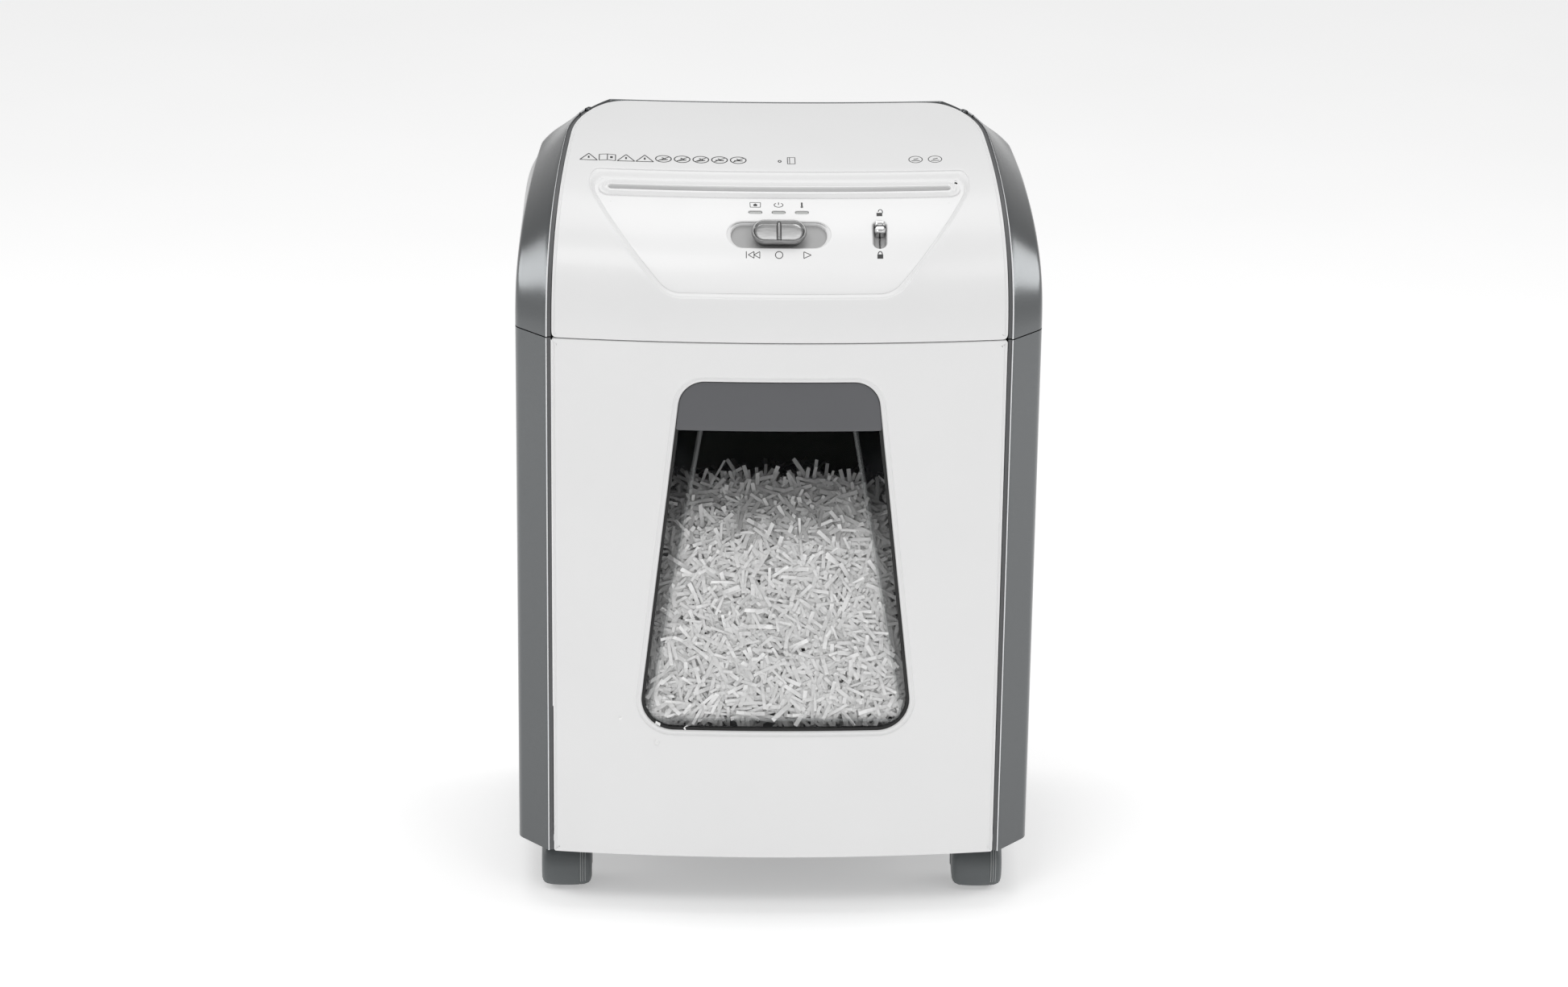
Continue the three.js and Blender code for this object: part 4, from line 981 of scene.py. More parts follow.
def build_symbols():
    ink_and_painted_light = Print(panel_depth)
    low = float(length_at_height(56.6))
    for x in (CONTROL_X - 18.6, CONTROL_X - 14.8):
        ink_and_painted_light.polygon([(x + 2.2, low - 2.4), (x + 2.2, low + 2.4), (x - 1.6, low)], 0.4)
    ink_and_painted_light.stroke([(CONTROL_X - 21.4, low - 2.5), (CONTROL_X - 21.4, low + 2.5)], 0.45)
    ink_and_painted_light.circle((CONTROL_X, low), 2.4, 2.5, 0.45)
    x = CONTROL_X + 18.4
    ink_and_painted_light.polygon([(x - 2.2, low - 2.4), (x + 2.6, low), (x - 2.2, low + 2.4)], 0.4)
    high = float(length_at_height(82.6))
    x = CONTROL_X - LED_STEP
    ink_and_painted_light.polygon([(x - 3.3, high - 2.3), (x + 3.3, high - 2.3), (x + 3.5, high + 2.3),
                 (x - 3.5, high + 2.3)], 0.35)
    ink_and_painted_light.fill([(x - 1.0, high - 1.3), (x + 1.0, high - 1.3), (x + 1.4, high + 0.2), (x, high + 1.4),
              (x - 1.4, high + 0.2)])
    angles = np.linspace(math.radians(125), math.radians(415), 26)
    arc = [(CONTROL_X + 2.9 * math.cos(a), high + 2.1 * math.sin(a)) for a in angles]
    ink_and_painted_light.stroke(arc, 0.45)
    ink_and_painted_light.stroke([(CONTROL_X, high + 0.2), (CONTROL_X, high + 2.6)], 0.5)
    x = CONTROL_X + LED_STEP
    ink_and_painted_light.stroke([(x, high - 1.2), (x, high + 2.6)], 0.9)
    ink_and_painted_light.circle((x, high - 1.9), 0.55, 0.6, 0.5)
    for height, lift in ((78.4, 0.9), (56.2, 0.0)):
        s = float(length_at_height(height))
        ink_and_painted_light.fill(between(LOCK_X - 1.9, LOCK_X + 1.9, s - 2.4, s + 0.7))
        shackle = [(LOCK_X + 1.35 * math.cos(a) + lift * 0.8, s + 0.9 + lift + 1.9 * math.sin(a))
                   for a in np.linspace(0, math.pi, 11)]
        ink_and_painted_light.stroke([(shackle[0][0], s + 0.5)] + shackle
                   + ([] if lift else [(shackle[-1][0], s + 0.5)]), 0.5)
    ink_and_painted_light.build("panel_symbols", SYMBOL)

    row = Print(lambda points: np.zeros(len(points)))
    s = float(length_at_height(97.9)) + 2.6
    tall = 4.3
    xs = np.linspace(-126.4, -27.1, 9)
    for k, x in enumerate(xs):
        if k in (0, 2, 3):
            row.polygon([(x - 5.8, s - tall), (x + 5.8, s - tall), (x, s + tall)], 0.6)
            row.stroke([(x, s - 1.8), (x, s + 0.8)], 1.0)
        elif k == 1:
            row.polygon([(x - 5.4, s - tall), (x, s - tall + 0.9), (x, s + tall),
                         (x - 5.4, s + tall - 0.7)], 0.5)
            row.polygon([(x, s - tall + 0.9), (x + 5.4, s - tall), (x + 5.4, s + tall - 0.7),
                         (x, s + tall)], 0.5)
            row.fill(between(x + 1.8, x + 3.6, s - 1.2, s + 1.4))
        else:
            row.circle((x, s), 5.2, tall, 0.62)
            row.stroke([(x - 3.5, s - 2.5), (x + 3.5, s + 2.5)], 0.6)
            row.stroke([(x - 2.7, s - 0.4 - 0.3 * k % 2), (x + 2.9, s - 0.9)], 0.85)
            row.stroke([(x - 1.1, s + 1.6), (x + 1.5, s + 0.6 - 0.2 * k)], 0.7)
    row.polygon(between(5.6, 10.6, s - tall, s + tall), 0.4)
    row.stroke([(7.0, s - tall), (7.0, s + tall)], 0.4)
    row.circle((0.4, s - 1.0), 0.9, 1.3, 0.6)
    for x in (91, 104):
        row.circle((x, s + 0.5), 4.5, tall, 0.45)
        row.stroke([(x - 2.8, s - 1.2), (x + 2.8, s - 1.2)], 0.6)
        row.stroke([(x - 1.4, s + 0.6), (x + 1.8, s + 1.6)], 0.7)
    row.build("cover_symbols", SYMBOL)


# -------------------- grey sides
EDGE = 1.1


def turn_corner(first, second, reach, counts):
    """Joins two paths that meet, with a round of the given reach between them."""
    corner = np.array(first[-1], float)
    out = []
    ends = []
    for path, backwards in ((np.asarray(first)[::-1], True), (np.asarray(second), False)):
        along = path_lengths(path)
        start = min(reach, 0.4 * along[-1])
        count = counts[0] if backwards else counts[2]
        at = start + (along[-1] - start) * np.linspace(0, 1, count) ** 1.25
        part = points_at(path, along, at)
        ends.append(part[0])
        out.append(part[::-1] if backwards else part)
    turn = np.linspace(0, 1, counts[1] + 2)[1:-1, None]
    middle = (1 - turn) ** 2 * ends[0] + 2 * turn * (1 - turn) * corner + turn ** 2 * ends[1]
    return np.vstack([out[0], middle, out[1]])


def head_path(height):
    """Level cut through the head's grey side, from the groove round to the rear joint."""
    strip = np.array([strip_cut(height, share) for share in np.linspace(0, 1, 14)])
    rear = np.array([rear_turn(height, angle)
                     for angle in joint_angle(height) * np.linspace(0, 1, 80) ** 1.3])
    if np.linalg.norm(strip[-1] - strip[0]) > 14:
        return turn_corner(strip, rear, 4.5, (9, 7, 44))
    path = np.vstack([strip, rear])
    along = path_lengths(path)
    first = EDGE * 1.3
    at = np.concatenate([[0], first + (along[-1] - first) * np.linspace(0, 1, 59) ** 1.3])
    return points_at(path, along, at)


def body_path():
    strip = [(INNER_HALF + GROOVE, FRONT_Y + STRIP_STEP), (OUTER_HALF, FRONT_Y + CHAMFER_DEPTH)]
    turn = OUTER_HALF - CORNER
    arc = [(turn + CORNER * math.cos(a), BACK_Y - CORNER + CORNER * math.sin(a))
           for a in np.linspace(0, math.pi / 2, 16)]
    wall = np.vstack([[(OUTER_HALF, FRONT_Y + CHAMFER_DEPTH)], arc, [(turn - 3, BACK_Y)]])
    return turn_corner(strip, wall, 4.5, (9, 7, 60))


def grid_normals(grid):
    du = np.gradient(grid, axis=0)
    dv = np.gradient(grid, axis=1)
    normal = np.cross(du, dv)
    return normal / np.maximum(np.linalg.norm(normal, axis=2), 1e-9)[:, :, None]


def side_shell(name, sign, paths, heights, outward, covers, replaced):
    """A grey side from level cuts, with a rounded edge painted light as a highlight and a ledge in the
    groove painted dark as shade.
    """
    rows = [np.column_stack([path, np.full(len(path), SEAM + height)])
            for path, height in zip(paths, heights)]
    grid = np.array(rows)
    normal = grid_normals(grid)
    if normal[len(rows) // 2, 20][0] < 0:
        normal = -normal
    chamfer = grid[:, 2] - grid[:, 0]
    chamfer /= np.maximum(np.linalg.norm(chamfer, axis=1), 1e-6)[:, None]
    inner = grid - normal * 2.6
    ledge_start = grid[:, 0] - outward * 1.9
    ledge = ledge_start.copy()
    ledge[:, 0] = covers + 0.35
    outer = [ledge, ledge_start - chamfer * 0.02, grid[:, 0] - outward * EDGE]
    outer += [grid[:, 0] - outward * EDGE * (1 - math.sin(a)) + chamfer * EDGE * (1 - math.cos(a))
              for a in np.linspace(0, math.pi / 2, 6)[1:]]
    kept = grid[:, 1:].copy()
    shift = np.linalg.norm(grid[:, 1] - grid[:, 0], axis=1)
    if shift.min() < EDGE * 1.1:
        kept[:, 0] = grid[:, 0] + chamfer * np.maximum(shift, EDGE * 1.15)[:, None]
    outer = np.concatenate([np.stack(outer, 1), kept], axis=1)
    under = grid[:, 0] - outward * 3.5
    low = [ledge - outward * 1.6, under + chamfer * 1.2]
    low += [under + chamfer * (1.6 + 0.1 * k) for k in range(outer.shape[1] - kept.shape[1] - 2)]
    lower = np.concatenate([np.stack(low, 1), inner[:, 1:]], axis=1)
    for layer in (outer, lower):
        layer[:, :, 0] *= sign
    shell = grid_solid(name, outer, lower, [SILVER, SILVER_EDGE_HIGHLIGHT, GROOVE_SHADE], sharp=50)
    kinds = np.zeros(len(shell.data.polygons), int)
    columns = outer.shape[1] - 1
    cells = np.arange((outer.shape[0] - 1) * columns)
    within = cells % columns
    # The ledge's faces take the groove's painted shade, the rounded edge's faces the painted highlight.
    kinds[2 * cells[within < 2]] = 2
    kinds[2 * cells[(within >= 2) & (within <= 6)]] = 1
    shell.data.polygons.foreach_set("material_index", kinds)
    bevel(shell, 0.45, 2, 50)
    finish(shell, "cabinet", "silver_side", replaced)


def build_sides():
    heights = np.concatenate([np.linspace(SEAM_GAP, 70, 60), np.linspace(70.8, 100, 60),
                              np.linspace(100.4, 110.6, 34)])
    depth = profile_depth(heights)
    half = np.asarray(cover_half(depth))
    edge = np.stack([half, length_at_height(heights)], 1)
    outward = head_surface(edge, 0.0) - head_surface(edge, 1.0)
    paths = [head_path(height) for height in heights]
    body = np.linspace(BODY_BOTTOM - SEAM, -0.2, 40)
    straight = np.tile([0.0, -1.0, 0.0], (len(body), 1))
    body_paths = [body_path()] * len(body)
    for sign, word in ((-1, "left"), (1, "right")):
        side_shell("head_%s_skin" % word, sign, paths, heights, outward, half, "head_%s_shell" % word)
        side_shell("body_%s_skin" % word, sign, body_paths, body, straight,
                   np.full(len(body), INNER_HALF),
                   "cabinet_%s_side" % word)


def build_rear():
    """Rear cover of the head with louvres, and the flat back of the cabinet."""
    top_y, top_height = (float(v) for v in rear_edge(0.0))
    heights = np.linspace(top_height, SEAM_GAP, 500)
    upper = ramp(heights, REAR_BLEND, top_height) ** 1.2
    ys = rear_y(0.0, np.minimum(heights, REAR_BLEND))
    ys = ys + (top_y - ys) * upper
    along = np.concatenate([[0], np.cumsum(np.hypot(np.diff(ys), np.diff(heights)))])
    total = float(along[-1])
    share = (top_height - heights) / (top_height - SEAM_GAP)

    def place(x, s):
        edge_y, edge_height = rear_edge(x)
        height = edge_height + (SEAM_GAP - edge_height) * np.interp(s, along, share)
        low = rear_y(x, np.minimum(height, REAR_BLEND))
        turn = ramp(height, REAR_BLEND, edge_height) ** 1.2
        return np.stack([x, low + (edge_y - low) * turn, SEAM + height], 1)

    def surface(points, sink=0.0):
        x, s = points[:, 0], total - points[:, 1]
        across = place(x + 0.3, s) - place(x - 0.3, s)
        down = place(x, np.minimum(s + 0.4, total)) - place(x, np.maximum(s - 0.4, 0))
        normal = np.cross(across, down)
        normal *= np.sign(normal[:, 1] + normal[:, 2])[:, None]
        return sunk_below(place(x, s), normal, sink)

    half = REAR_JOINT - 1.0
    outline = np.array(between(-half, half, 0, total), float)
    holes = []
    for side in (-1, 1):
        for row in range(6):
            height = 25.5 + 8 * row
            s = total - float(np.interp(-height, -heights, along))
            holes.append(capsule(38, 1.6, (side * 75, s)))
    s = total - float(np.interp(-13.0, -heights, along))
    holes.append(capsule(7.5, 7.4, (-108, s)))
    rear = fix_facing(plate("rear_cover_skin", outline, holes, surface, 2.2, SILVER, spacing=4.0,
                            radius=[0.9] + [0.5] * 12 + [0.4], step=1.5))
    finish(rear, "cabinet", "silver_side", "head_rear_cover")

    width = OUTER_HALF - CORNER - 3 - 0.6
    panel = fillet(between(-width, width, BODY_BOTTOM, SEAM - 0.4), [1.5] * 4, 4)
    dish = resample(rounded_box(110, 120, 14, (0, 230), 12), 1.5)

    def back_face(points):
        within = inside(points, dish)
        edge = np.array([np.sqrt(np.min(np.sum((dish - p) ** 2, 1))) for p in points])
        return np.where(within, 1.8 * smooth(edge, 0.0, 3.5), 0.0)

    def flat_back(points, sink=0.0):
        return np.stack([points[:, 0], BACK_Y - np.broadcast_to(sink, len(points)), points[:, 1]], 1)

    back = fix_facing(plate("back_skin", panel, [], flat_back, 2.6, SILVER, spacing=4.0, radius=0.8,
                            step=3.0, depth=back_face))
    finish(back, "cabinet", "silver_side", "cabinet_back")


# -------------------- bin
def window_outline(inset):
    """The tapered window opening, in x and z, moved inwards."""
    corners = [(-96.6, 131.9), (96.6, 131.9), (67.6, 385.6), (-67.6, 385.6)]
    loop = resample(fillet(corners, [25, 25, 21, 21], 16), 1.0)
    return loop - loop_normals(loop) * inset


def clip_below(loop, z, radius):
    """Keeps the part of a loop above a level, with small rounds at its lower corners."""
    above = loop[loop[:, 1] > z]
    arch = above[np.argsort(np.arctan2(above[:, 1] - z, above[:, 0]))]
    low_right = (arch[0][0] + (z - arch[0][1]) * -0.12, z)
    low_left = (-low_right[0], z)
    path = resample(np.vstack([[low_left, low_right], arch]), 0.8)
    for corner in (low_left, low_right):
        path = soften(path, corner, radius, 6)
    return path


def build_bin_front():
    outer = fillet(between(-INNER_HALF, INNER_HALF, BODY_BOTTOM, SEAM - 0.15), [1.2] * 4, 4)
    rim = [(0.35, 0.95), (1.05, 1.0), (1.5, 0.7), (2.0, 0.5), (2.5, 0.55), (3.0, 1.0), (RIM_WIDTH, 2.0),
           (RIM_WIDTH, 3.6)]
    # The door's rounded edge takes the painted highlight copy of the white, and one band of the window
    # rim the painted shade line.
    front = plate("bin_front_skin", outer, [window_outline(0)], front_surface, 3.6, SHELL_LOOKS,
                  spacing=4.0,
                  radius=[0.8, 0.7], step=1.6, rims={0: [(0.0, 7.5)], 1: rim}, collars={0: COLLAR},
                  painted_light_bands={0: EDGE_HIGHLIGHTS, 1: {1: 1}})
    finish(front, "bin", "white_shell", "bin_front")


def build_handle():
    outline = clip_below(window_outline(RIM_WIDTH + 0.25), HANDLE_BOTTOM, 3)
    handle = plate("bin_handle_skin", outline, [], front_surface, 4.0, HANDLE, spacing=3.0, radius=1.0,
                   step=0.9, depth=lambda points: np.full(len(points), 1.3))
    finish(handle, "bin", "handle_plastic", "bin_handle")
    section = [(5.4, HANDLE_BOTTOM + 0.2), (14.0, HANDLE_BOTTOM + 0.6), (14.6, HANDLE_BOTTOM + 1.4),
               (14.0, HANDLE_BOTTOM + 2.4), (5.4, HANDLE_BOTTOM + 3.0)]
    rings = [np.array([front_surface(np.array([[x, z]]), sink)[0] for sink, z in section])
             for x in np.linspace(-54, 54, 40)]
    lip = stacked("bin_handle_lip", rings, HANDLE)
    finish(lip, "bin", "handle_plastic")


def build_seal():
    seal = plate("window_seal", window_outline(RIM_WIDTH - 0.2), [window_outline(5.4)],
                 front_surface, 3.4,
                 SEAL, spacing=2.0, radius=[0.3, 0.5], step=1.4, depth=lambda p: np.full(len(p), 1.9))
    finish(seal, "bin", "gasket_rubber", "window_gasket")


PANE_LOW_Z, PANE_HIGH_Z = 144.0, 381.0
PANE_LOW_Y, PANE_HIGH_Y = FRONT_Y - BULGE + 5.5, FRONT_Y - BULGE + 38.0


def pane_y(z):
    return PANE_LOW_Y + (PANE_HIGH_Y - PANE_LOW_Y) * (z - PANE_LOW_Z) / (PANE_HIGH_Z - PANE_LOW_Z)


def build_pane():
    """Clear tray: side cheeks run back to a pane that leans away towards the top."""
    size = 160

    def matched(corners, radii):
        loop = fillet(corners, radii, 12)
        count = 13
        out = []
        for k in range(4):
            arc = loop[k * count:(k + 1) * count]
            following = loop[((k + 1) * count) % (4 * count)]
            steps = np.linspace(0, 1, size // 4 - 12, endpoint=False)[:, None]
            out += [arc[:-1], arc[-1] + (following - arc[-1]) * steps]
        return np.vstack(out)

    front = matched([(-91.2, 137.2), (91.2, 137.2), (62.5, 380.6), (-62.5, 380.6)], [20, 20, 16, 16])
    back = matched([(-86.0, 142.0), (86.0, 142.0), (43.5, 381.5), (-43.5, 381.5)], [7, 7, 5, 5])

    def blend_loop(t, grow, push):
        flat = front * (1 - t) + back * t
        flat = flat + loop_normals(flat) * grow
        near = FRONT_Y - bulge(flat[:, 0]) + 2.6
        far = pane_y(flat[:, 1])
        return np.stack([flat[:, 0], near * (1 - t) + far * t + push, flat[:, 1]], 1)

    inner_steps = [(0.0, 0.0, 0.0), (0.02, 0.0, 0.5), (0.35, 0.0, 0.0), (0.7, 0.0, 0.0),
                   (0.95, 0.0, 0.0),
                   (0.985, -0.3, -0.2), (1.0, -1.2, 0.0)]
    outer_steps = [(1.0, 0.0, 2.2), (0.98, 1.6, 1.6), (0.93, 2.0, 0.8), (0.35, 2.0, 0.6),
                   (0.0, 2.0, 0.4)]
    rings = [blend_loop(*step) for step in inner_steps + outer_steps]
    count = len(rings[0])
    faces, kinds = [], []
    for k in range(len(rings)):
        following = (k + 1) % len(rings)
        if k == len(inner_steps) - 1:
            continue
        new = ring_faces(range(k * count, (k + 1) * count),
                         range(following * count, (following + 1) * count), False)
        faces += new
        # Edge rings take the painted highlight copy, the cheeks the darker side copy.
        edge = k in (0, 4, 5, len(inner_steps), len(rings) - 1)
        kinds += [2 if edge else 1] * len(new)
    first = len(inner_steps) - 1
    faces.append(tuple(range(first * count, (first + 1) * count))[::-1])
    faces.append(tuple(range((first + 1) * count, (first + 2) * count)))
    kinds += [0, 0]
    pane = make_object("window_pane_skin", np.vstack(rings), faces, [PANE, CHEEK, PANE_EDGE_HIGHLIGHT], 30)
    pane.data.polygons.foreach_set("material_index", kinds)
    fix_facing(pane)
    finish(pane, "bin", "clear_pane", "window_pane")


# -------------------- shredded paper
def ribbon_mesh(name, strips):
    """All strips as one mesh of thin closed ribbons."""
    segments, thickness = 6, 0.14
    points, faces, tones_and_painted_shades = [], [], []
    total = 0
    for strip in strips:
        t = np.linspace(-0.5, 0.5, segments + 1)
        bend = strip["bend"]
        length = strip["length"]
        if abs(bend) > 1e-3:
            along = np.sin(t * bend) / bend * length
            rise = (1 - np.cos(t * bend)) / bend * length
        else:
            along = t * length
            rise = np.zeros_like(t)
        twist = strip["twist"] * t
        right, ahead, out = strip["axes"]
        middle = strip["centre"] + along[:, None] * ahead + rise[:, None] * out
        normal = np.cos(t * bend)[:, None] * out - np.sin(t * bend)[:, None] * ahead
        side = np.cos(twist)[:, None] * right + np.sin(twist)[:, None] * normal
        face = np.cross(side, np.gradient(middle, axis=0))
        face /= np.linalg.norm(face, axis=1)[:, None]
        half = side * strip["width"] / 2
        lift = face * thickness / 2
        block = np.stack([middle - half + lift, middle + half + lift, middle + half - lift,
                          middle - half - lift], 1)
        points.append(block.reshape(-1, 3))
        for k in range(segments):
            for c in range(4):
                d = (c + 1) % 4
                faces.append((total + 4 * k + c, total + 4 * k + 4 + c, total + 4 * k + 4 + d,
                              total + 4 * k + d))
        faces.append((total, total + 1, total + 2, total + 3))
        last = total + 4 * segments
        faces.append((last + 3, last + 2, last + 1, last))
        tones_and_painted_shades += [strip["tone_and_painted_shade"]] * (4 * (segments + 1))
        total += 4 * (segments + 1)
    obj = make_object(name, np.vstack(points), faces, PAPER, 40)
    set_tone_and_painted_shade(obj, tones_and_painted_shades)
    return obj


def set_tone_and_painted_shade(obj, values):
    layer = obj.data.attributes.new("tone_and_painted_shade", "FLOAT", "POINT")
    layer.data.foreach_set("value", np.array(values, np.float32))


def random_strip(centre, out, tilt, up_hint):
    """One strip lying roughly in the plane across out."""
    lean = rng.normal(0, tilt, 2)
    right = np.cross(up_hint, out)
    right /= np.linalg.norm(right)
    up = np.cross(out, right)
    out = out + lean[0] * right + lean[1] * up
    out /= np.linalg.norm(out)
    turn = rng.uniform(0, math.pi)
    ahead = math.cos(turn) * right + math.sin(turn) * up
    ahead -= out * (ahead @ out)
    ahead /= np.linalg.norm(ahead)
    side = np.cross(ahead, out)
    return {
        "centre": centre, "axes": (side, ahead, out),
        "length": rng.uniform(13, 36), "width": rng.uniform(1.6, 2.9),
        "bend": rng.normal(0, 0.55), "twist": rng.normal(0, 0.4),
        "tone_and_painted_shade": 0.78 + 0.22 * float(rng.beta(1.6, 1.0)),
    }


HEAP_CREST = 297.0
HEAP_FALL = 62.0
HEAP_FRONT = -92.0
HEAP_FLOOR = 56.5


def heap_top(x, y):
    """Height of the heap over the bin's floor plan."""
    wave = 2.5 * math.sin(x / 31 + 1.3) + 2 * math.sin(y / 23 + x / 47) + 1.5 * math.sin(x / 13 - y / 17)
    fall = HEAP_FALL * (1 - math.exp(-((max(y, HEAP_FRONT) - HEAP_FRONT) / 95) ** 1.2))
    return HEAP_CREST - 0.0005 * x * x - fall + wave


def build_paper():
    slope = (PANE_HIGH_Y - PANE_LOW_Y) / (PANE_HIGH_Z - PANE_LOW_Z)
    facing = np.array([0.0, -1.0, slope])
    facing /= np.linalg.norm(facing)
    up = np.array([0.0, 0.0, 1.0])
    strips = []
    at_pane, at_cheek, on_top = ((3400, 600, 1500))
    while len(strips) < at_pane:
        z = rng.uniform(139, 316)
        limit = 92 - (z - 139) * 0.165
        x = rng.uniform(-limit, limit)
        if z > heap_top(x, HEAP_FRONT) + 1 + rng.normal(0, 3):
            continue
        deep = 3.4 + abs(rng.normal(0, 2.6))
        strip = random_strip(np.array([x, pane_y(z) + deep, z]), facing, 0.15, up)
        # Painted shade: strips near the heap's top are darkened, standing in for the shade under the
        # handle and head.
        strip["tone_and_painted_shade"] *= 1 - 0.8 * float(smooth(z, 250, 302))
        strips.append(strip)
    for side in (-1, 1):
        for _ in range(at_cheek):
            z = rng.uniform(150, 300)
            edge = 88 - (z - 144) * 0.11
            y = pane_y(z) - rng.uniform(-4, 10)
            x = side * (edge + rng.uniform(5, 16))
            if y > FRONT_Y + 7:
                strips.append(random_strip(np.array([x, y + 6, z]),
                                           np.array([-side * 0.8, -0.6, 0.0]), 0.25, up))
    for _ in range(on_top):
        x = rng.uniform(-130, 130)
        y = rng.uniform(-88, 100)
        z = heap_top(x, y) + rng.uniform(-3, 3)
        strip = random_strip(np.array([x, y, z]), np.array([0.0, 0.0, 1.0]), 0.3,
                             np.array([0.0, 1.0, 0.0]))
        # Painted shade: strips on the heap's top are darkened, standing in for the dark inside of the
        # closed bin.
        strip["tone_and_painted_shade"] *= 0.3
        strips.append(strip)
    shreds = ribbon_mesh("paper_shreds", strips)
    finish(shreds, "bin", "paper", "shredded_paper")

    # Painted shade: the heap's inner body is nearly black, standing in for the dark inside of the bin
    # between the strips.
    xs = np.linspace(-138, 138, 60)
    ys = np.linspace(-103, 108, 46)
    top = np.array([[(x, max(y, pane_y(heap_top(x, y)) + 8), heap_top(x, y) - 5) for y in ys]
                    for x in xs])
    low = top.copy()
    low[:, :, 2] = HEAP_FLOOR
    low[:, :, 1] = ys[None, :]
    core = grid_solid("paper_core_painted_shade", top, low, PAPER, 60)
    set_tone_and_painted_shade(core, [0.12] * len(core.data.vertices))
    finish(core, "bin", "paper")
    zs = np.linspace(142, 300, 50)
    wide = np.linspace(-1, 1, 50)

    def face_point(u, z):
        ripple = 1.5 * math.sin(u * 40 + z / 5) * math.cos(z / 7 + u * 9)
        return u * (90 - (z - 139) * 0.155), pane_y(z) + 8.5 + ripple, z

    face = np.array([[face_point(u, z) for z in zs] for u in wide])
    rear = face.copy()
    rear[:, :, 1] = -96
    shaded_backing = grid_solid("paper_face_painted_shade", face, rear, PAPER, 60)
    # Painted shade: the sheet behind the front strips is dark, standing in for the shade in the gaps
    # between strips.
    set_tone_and_painted_shade(shaded_backing, [0.22] * len(shaded_backing.data.vertices))
    finish(shaded_backing, "bin", "paper")


# -------------------- casters
def build_casters():
    for corner in ("front_left", "front_right", "rear_left", "rear_right"):
        low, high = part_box("caster_wheels_" + corner)
        centre = np.array((low + high) / 2) / MM
        build_hood(corner, centre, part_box("caster_hood_" + corner)[1].z / MM)
        build_wheels(corner, centre)


HOOD_LOWEST = 3.4


def build_hood(corner, centre, top):
    """Barrel hood: a band round the wheels, open below, with domed cheeks."""
    body = "caster_" + corner
    angles = np.linspace(math.radians(-38), math.radians(218), 48)
    across = [(-17.3, 11.0), (-17.1, 14.0), (-16.3, 16.8), (-15.0, 18.4), (-13.0, 19.4),
              (-9.5, 20.05), (-5, 20.35),
              (0, 20.45), (5, 20.35), (8.6, 20.1), (9.0, 19.7), (9.4, 20.05), (10.4, 19.95),
              (10.8, 19.55), (11.2, 19.9),
              (13.0, 19.4), (15.0, 18.4), (16.3, 16.8), (17.1, 14.0), (17.3, 11.0)]
    inner_across = [(max(min(x, 14.2), -14.2), min(r - 1.6, 18.3)) for x, r in across]

    def turned_points(section, arc, lowest):
        """For each angle, a section of (distance along the axle, radius) points."""
        grid = np.array([[(x, r * math.cos(a), r * math.sin(a)) for x, r in section]
                         for a in arc]) + centre
        grid[:, :, 2] = np.maximum(grid[:, :, 2], lowest)
        return grid

    outer, inner = (turned_points(part, angles, HOOD_LOWEST) for part in (across, inner_across))
    band = grid_solid("hood_band_" + corner, outer, inner, CASTER_GREY, 30)
    bevel(band, 0.35, 2, 40)
    finish(band, body, "charcoal_plastic", "caster_hood_" + corner)
    # Three thin rings in the painted highlight copy of the caster plastic.
    for x, r in ((9.4, 20.0), (10.9, 19.85), (12.6, 19.45)):
        section = [(x - 0.22, r + 0.06), (x, r + 0.22), (x + 0.22, r + 0.03), (x, r - 0.5)]
        rings = list(turned_points(section, angles[2:-2], HOOD_LOWEST + 0.4))
        line = stacked("hood_ring_highlight_%s_%d" % (corner, round(x)), rings, CASTER_RING_HIGHLIGHT, 30)
        finish(line, body, "charcoal_plastic")
    around = np.linspace(0, 2 * math.pi, 48, endpoint=False)
    dome = [(0.4, 18.0), (3.0, 17.95), (6.0, 17.8), (9.0, 17.6), (11.4, 17.3), (11.4, 14.6), (0.4, 14.6)]
    for side, letter in ((-1, "a"), (1, "b")):
        section = [(side * (x - 0.7), radius) for radius, x in dome]
        rings = list(turned_points(section, around, HOOD_LOWEST).transpose(1, 0, 2))
        cheek = stacked("hood_cheek_%s_%s" % (corner, letter), rings, CASTER_GREY, 30)
        finish(cheek, body, "charcoal_plastic")
    profile = [(3.2, -4.4), (18.6, -4.4), (18.6, 4.4), (3.2, 4.4)]
    web = turned("hood_web_" + corner, profile, 32, CASTER_GREY, centre)
    for vertex in web.data.vertices:
        vertex.co.z = max(vertex.co.z, HOOD_LOWEST * MM)
    finish(web, body, "charcoal_plastic")
    joint = [j for j in frame["joints"] if j["name"] == "swivel_" + corner][0]
    profile = [(3.6, 36.0), (7.6, 36.0), (8.0, top - 0.8), (7.4, top), (3.6, top)]
    origin = (joint["pos_m"][0] / MM, joint["pos_m"][1] / MM, 0)
    socket = turned("hood_socket_" + corner, profile, 32, CASTER_GREY, origin, "Z")
    finish(socket, body, "charcoal_plastic")


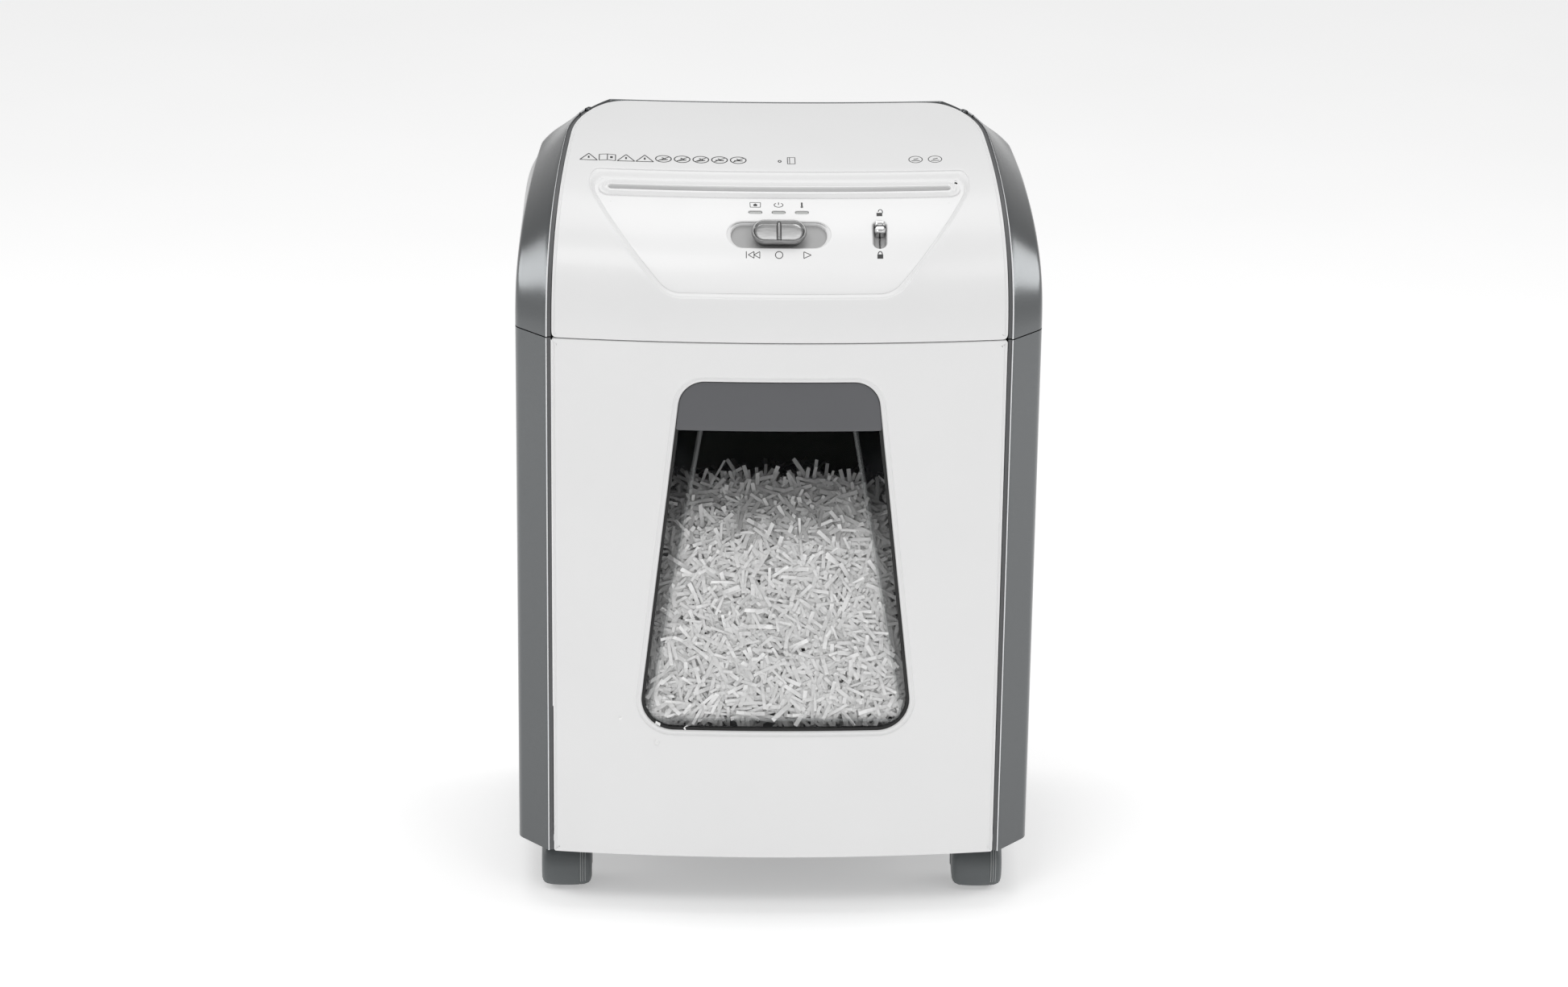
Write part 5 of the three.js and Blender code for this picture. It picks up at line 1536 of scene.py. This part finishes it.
def build_wheels(corner, centre):
    half = [(3.0, 5.2), (13.4, 5.3), (13.8, 6.2), (16.4, 6.2), (16.9, 5.6), (17.3, 6.0),
            (17.5, 7.2), (17.5, 11.2),
            (17.2, 12.4), (16.4, 13.2), (13.8, 13.3), (13.4, 12.6), (6.0, 12.4), (5.6, 13.2),
            (3.0, 13.2)]
    for side, letter in ((-1, "a"), (1, "b")):
        profile = [(r, side * x) for r, x in half]
        wheel = turned("wheel_%s_%s" % (corner, letter), profile, 56, TREAD, centre)
        finish(wheel, "wheels_" + corner, "wheel_tread", "caster_wheels_" + corner)
    axle = turned("wheel_axle_" + corner, [(2.8, -13.0), (2.8, 13.0)], 20, STEEL, centre)
    finish(axle, "wheels_" + corner, "wheel_tread")


# -------------------- pieces kept from the design
def dress_frame():
    for name in ("cabinet_base", "cabinet_deck", "bin_tub"):
        dress(name, CHARCOAL, 0.8, 3)
    dress("cord_gland", CHARCOAL, 0.4)
    for name in ("bin_rail_left", "bin_rail_right", "cutter_plate_left", "cutter_plate_right",
                 "tie_rod_front",
                 "tie_rod_middle", "tie_rod_rear", "cutter_front", "cutter_rear", "sync_gear_front",
                 "sync_gear_rear",
                 "drive_gear", "motor_pinion"):
        dress(name, STEEL, 0.25)
    for corner in ("front_left", "front_right", "rear_left", "rear_right"):
        dress("caster_stem_" + corner, STEEL, 0.3)
    for name in ("throat_front", "throat_rear"):
        dress(name, GUIDE, 0.3)
    dress("reduction_gear", NYLON, 0.25)
    dress("motor", MOTOR_CAN, 0.6)
    dress("control_board", BOARD, 0.2)


# -------------------- stage, lights, camera
CAMERA_YAW = 1.5522
CAMERA_PITCH = 19.6523
CAMERA_ROLL = 0.7596
CAMERA_DISTANCE = 2922.6
CAMERA_TARGET = (4.02, FRONT_Y, 302.0)
CAMERA_LENS = 101.31
FLOOR_HALF = 14.0
FLOOR_GLOW = 0.36
SKY_STRENGTH = 0.52


def build_camera():
    yaw, pitch, roll = (math.radians(a) for a in (CAMERA_YAW, CAMERA_PITCH, CAMERA_ROLL))
    back = Vector((-math.sin(yaw) * math.cos(pitch), -math.cos(yaw) * math.cos(pitch), math.sin(pitch)))
    right = (-back).cross(Vector((0, 0, 1))).normalized()
    up = right.cross(-back)
    turned_right = math.cos(roll) * right + math.sin(roll) * up
    turned_up = -math.sin(roll) * right + math.cos(roll) * up
    data = bpy.data.cameras.new("camera")
    data.lens = CAMERA_LENS
    data.sensor_width = 36
    data.clip_end = 20
    camera = bpy.data.objects.new("camera", data)
    place = (Vector(CAMERA_TARGET) + back * CAMERA_DISTANCE) * MM
    matrix = Matrix((turned_right, turned_up, back)).transposed().to_4x4()
    matrix.translation = place
    camera.matrix_world = matrix
    bpy.context.scene.collection.objects.link(camera)
    bpy.context.scene.camera = camera


def area_light(name, place, target, size, power):
    data = bpy.data.lights.new(name, "AREA")
    data.shape = "RECTANGLE"
    data.size, data.size_y = size
    data.energy = power
    light = bpy.data.objects.new(name, data)
    light.location = place
    light.visible_camera = False
    light.rotation_euler = (Vector(target) - Vector(place)).to_track_quat("-Z", "Y").to_euler()
    bpy.context.scene.collection.objects.link(light)


def build_stage():
    corners = [(x * FLOOR_HALF, y * FLOOR_HALF, 0) for x, y in ((-1, -1), (1, -1), (1, 1), (-1, 1))]
    material, tree, shader = new_material("pale_floor")
    mottle = noise(tree, 3.0, 2.0)
    tree.links.new(tint(tree, mottle.outputs["Fac"], (0.86, 0.86, 0.86), (0.88, 0.88, 0.88)),
                   shader.inputs["Base Color"])
    put(shader, Roughness=0.9, Emission_Color=(1, 1, 1, 1), Emission_Strength=FLOOR_GLOW)
    mesh = bpy.data.meshes.new("floor")
    mesh.from_pydata(corners, [], [(0, 1, 2, 3)])
    mesh.materials.append(material)
    floor = bpy.data.objects.new("floor", mesh)
    bpy.context.scene.collection.objects.link(floor)
    world = bpy.data.worlds.new("studio")
    world.use_nodes = True
    put(world.node_tree.nodes["Background"], Color=(1, 1, 1, 1), Strength=SKY_STRENGTH)
    bpy.context.scene.world = world
    bpy.context.scene.view_settings.view_transform = "Standard"
    area_light("key", (-0.5, -1.3, 2.0), (0, -0.1, 0.45), (0.9, 0.6), 7.5)
    area_light("fill", (0.9, -1.5, 1.8), (0, -0.1, 0.45), (0.9, 0.6), 4.5)
    area_light("top", (0, 0.1, 2.2), (0, 0, 0.4), (1.4, 1.0), 9)
    for side, word in ((-1, "left"), (1, "right")):
        area_light("box_" + word, (side * 1.72, 0.32, 0.66), (side * 0.17, -0.08, 0.45),
                   (1.0, 0.44), 6.0)


build_camera()
build_stage()
build_cover()
build_panel()
build_bezel()
build_well("switch_well_skin", lambda grow: capsule(33.4 + grow, 10.1 + grow, segments=28),
           local_frame(CONTROL_X, MODE_HEIGHT), 7.2, "switch_well")
build_well("lock_well_skin", lambda grow: rounded_box(4.2 + grow, 10.6 + grow, 3.8),
           local_frame(LOCK_X, MODE_HEIGHT), 7.6, "lock_well")
build_mode_knob()
build_lock_knob()
build_lenses()
build_symbols()
build_sides()
build_rear()
build_bin_front()
build_handle()
build_seal()
build_pane()
build_paper()
build_casters()
dress_frame()
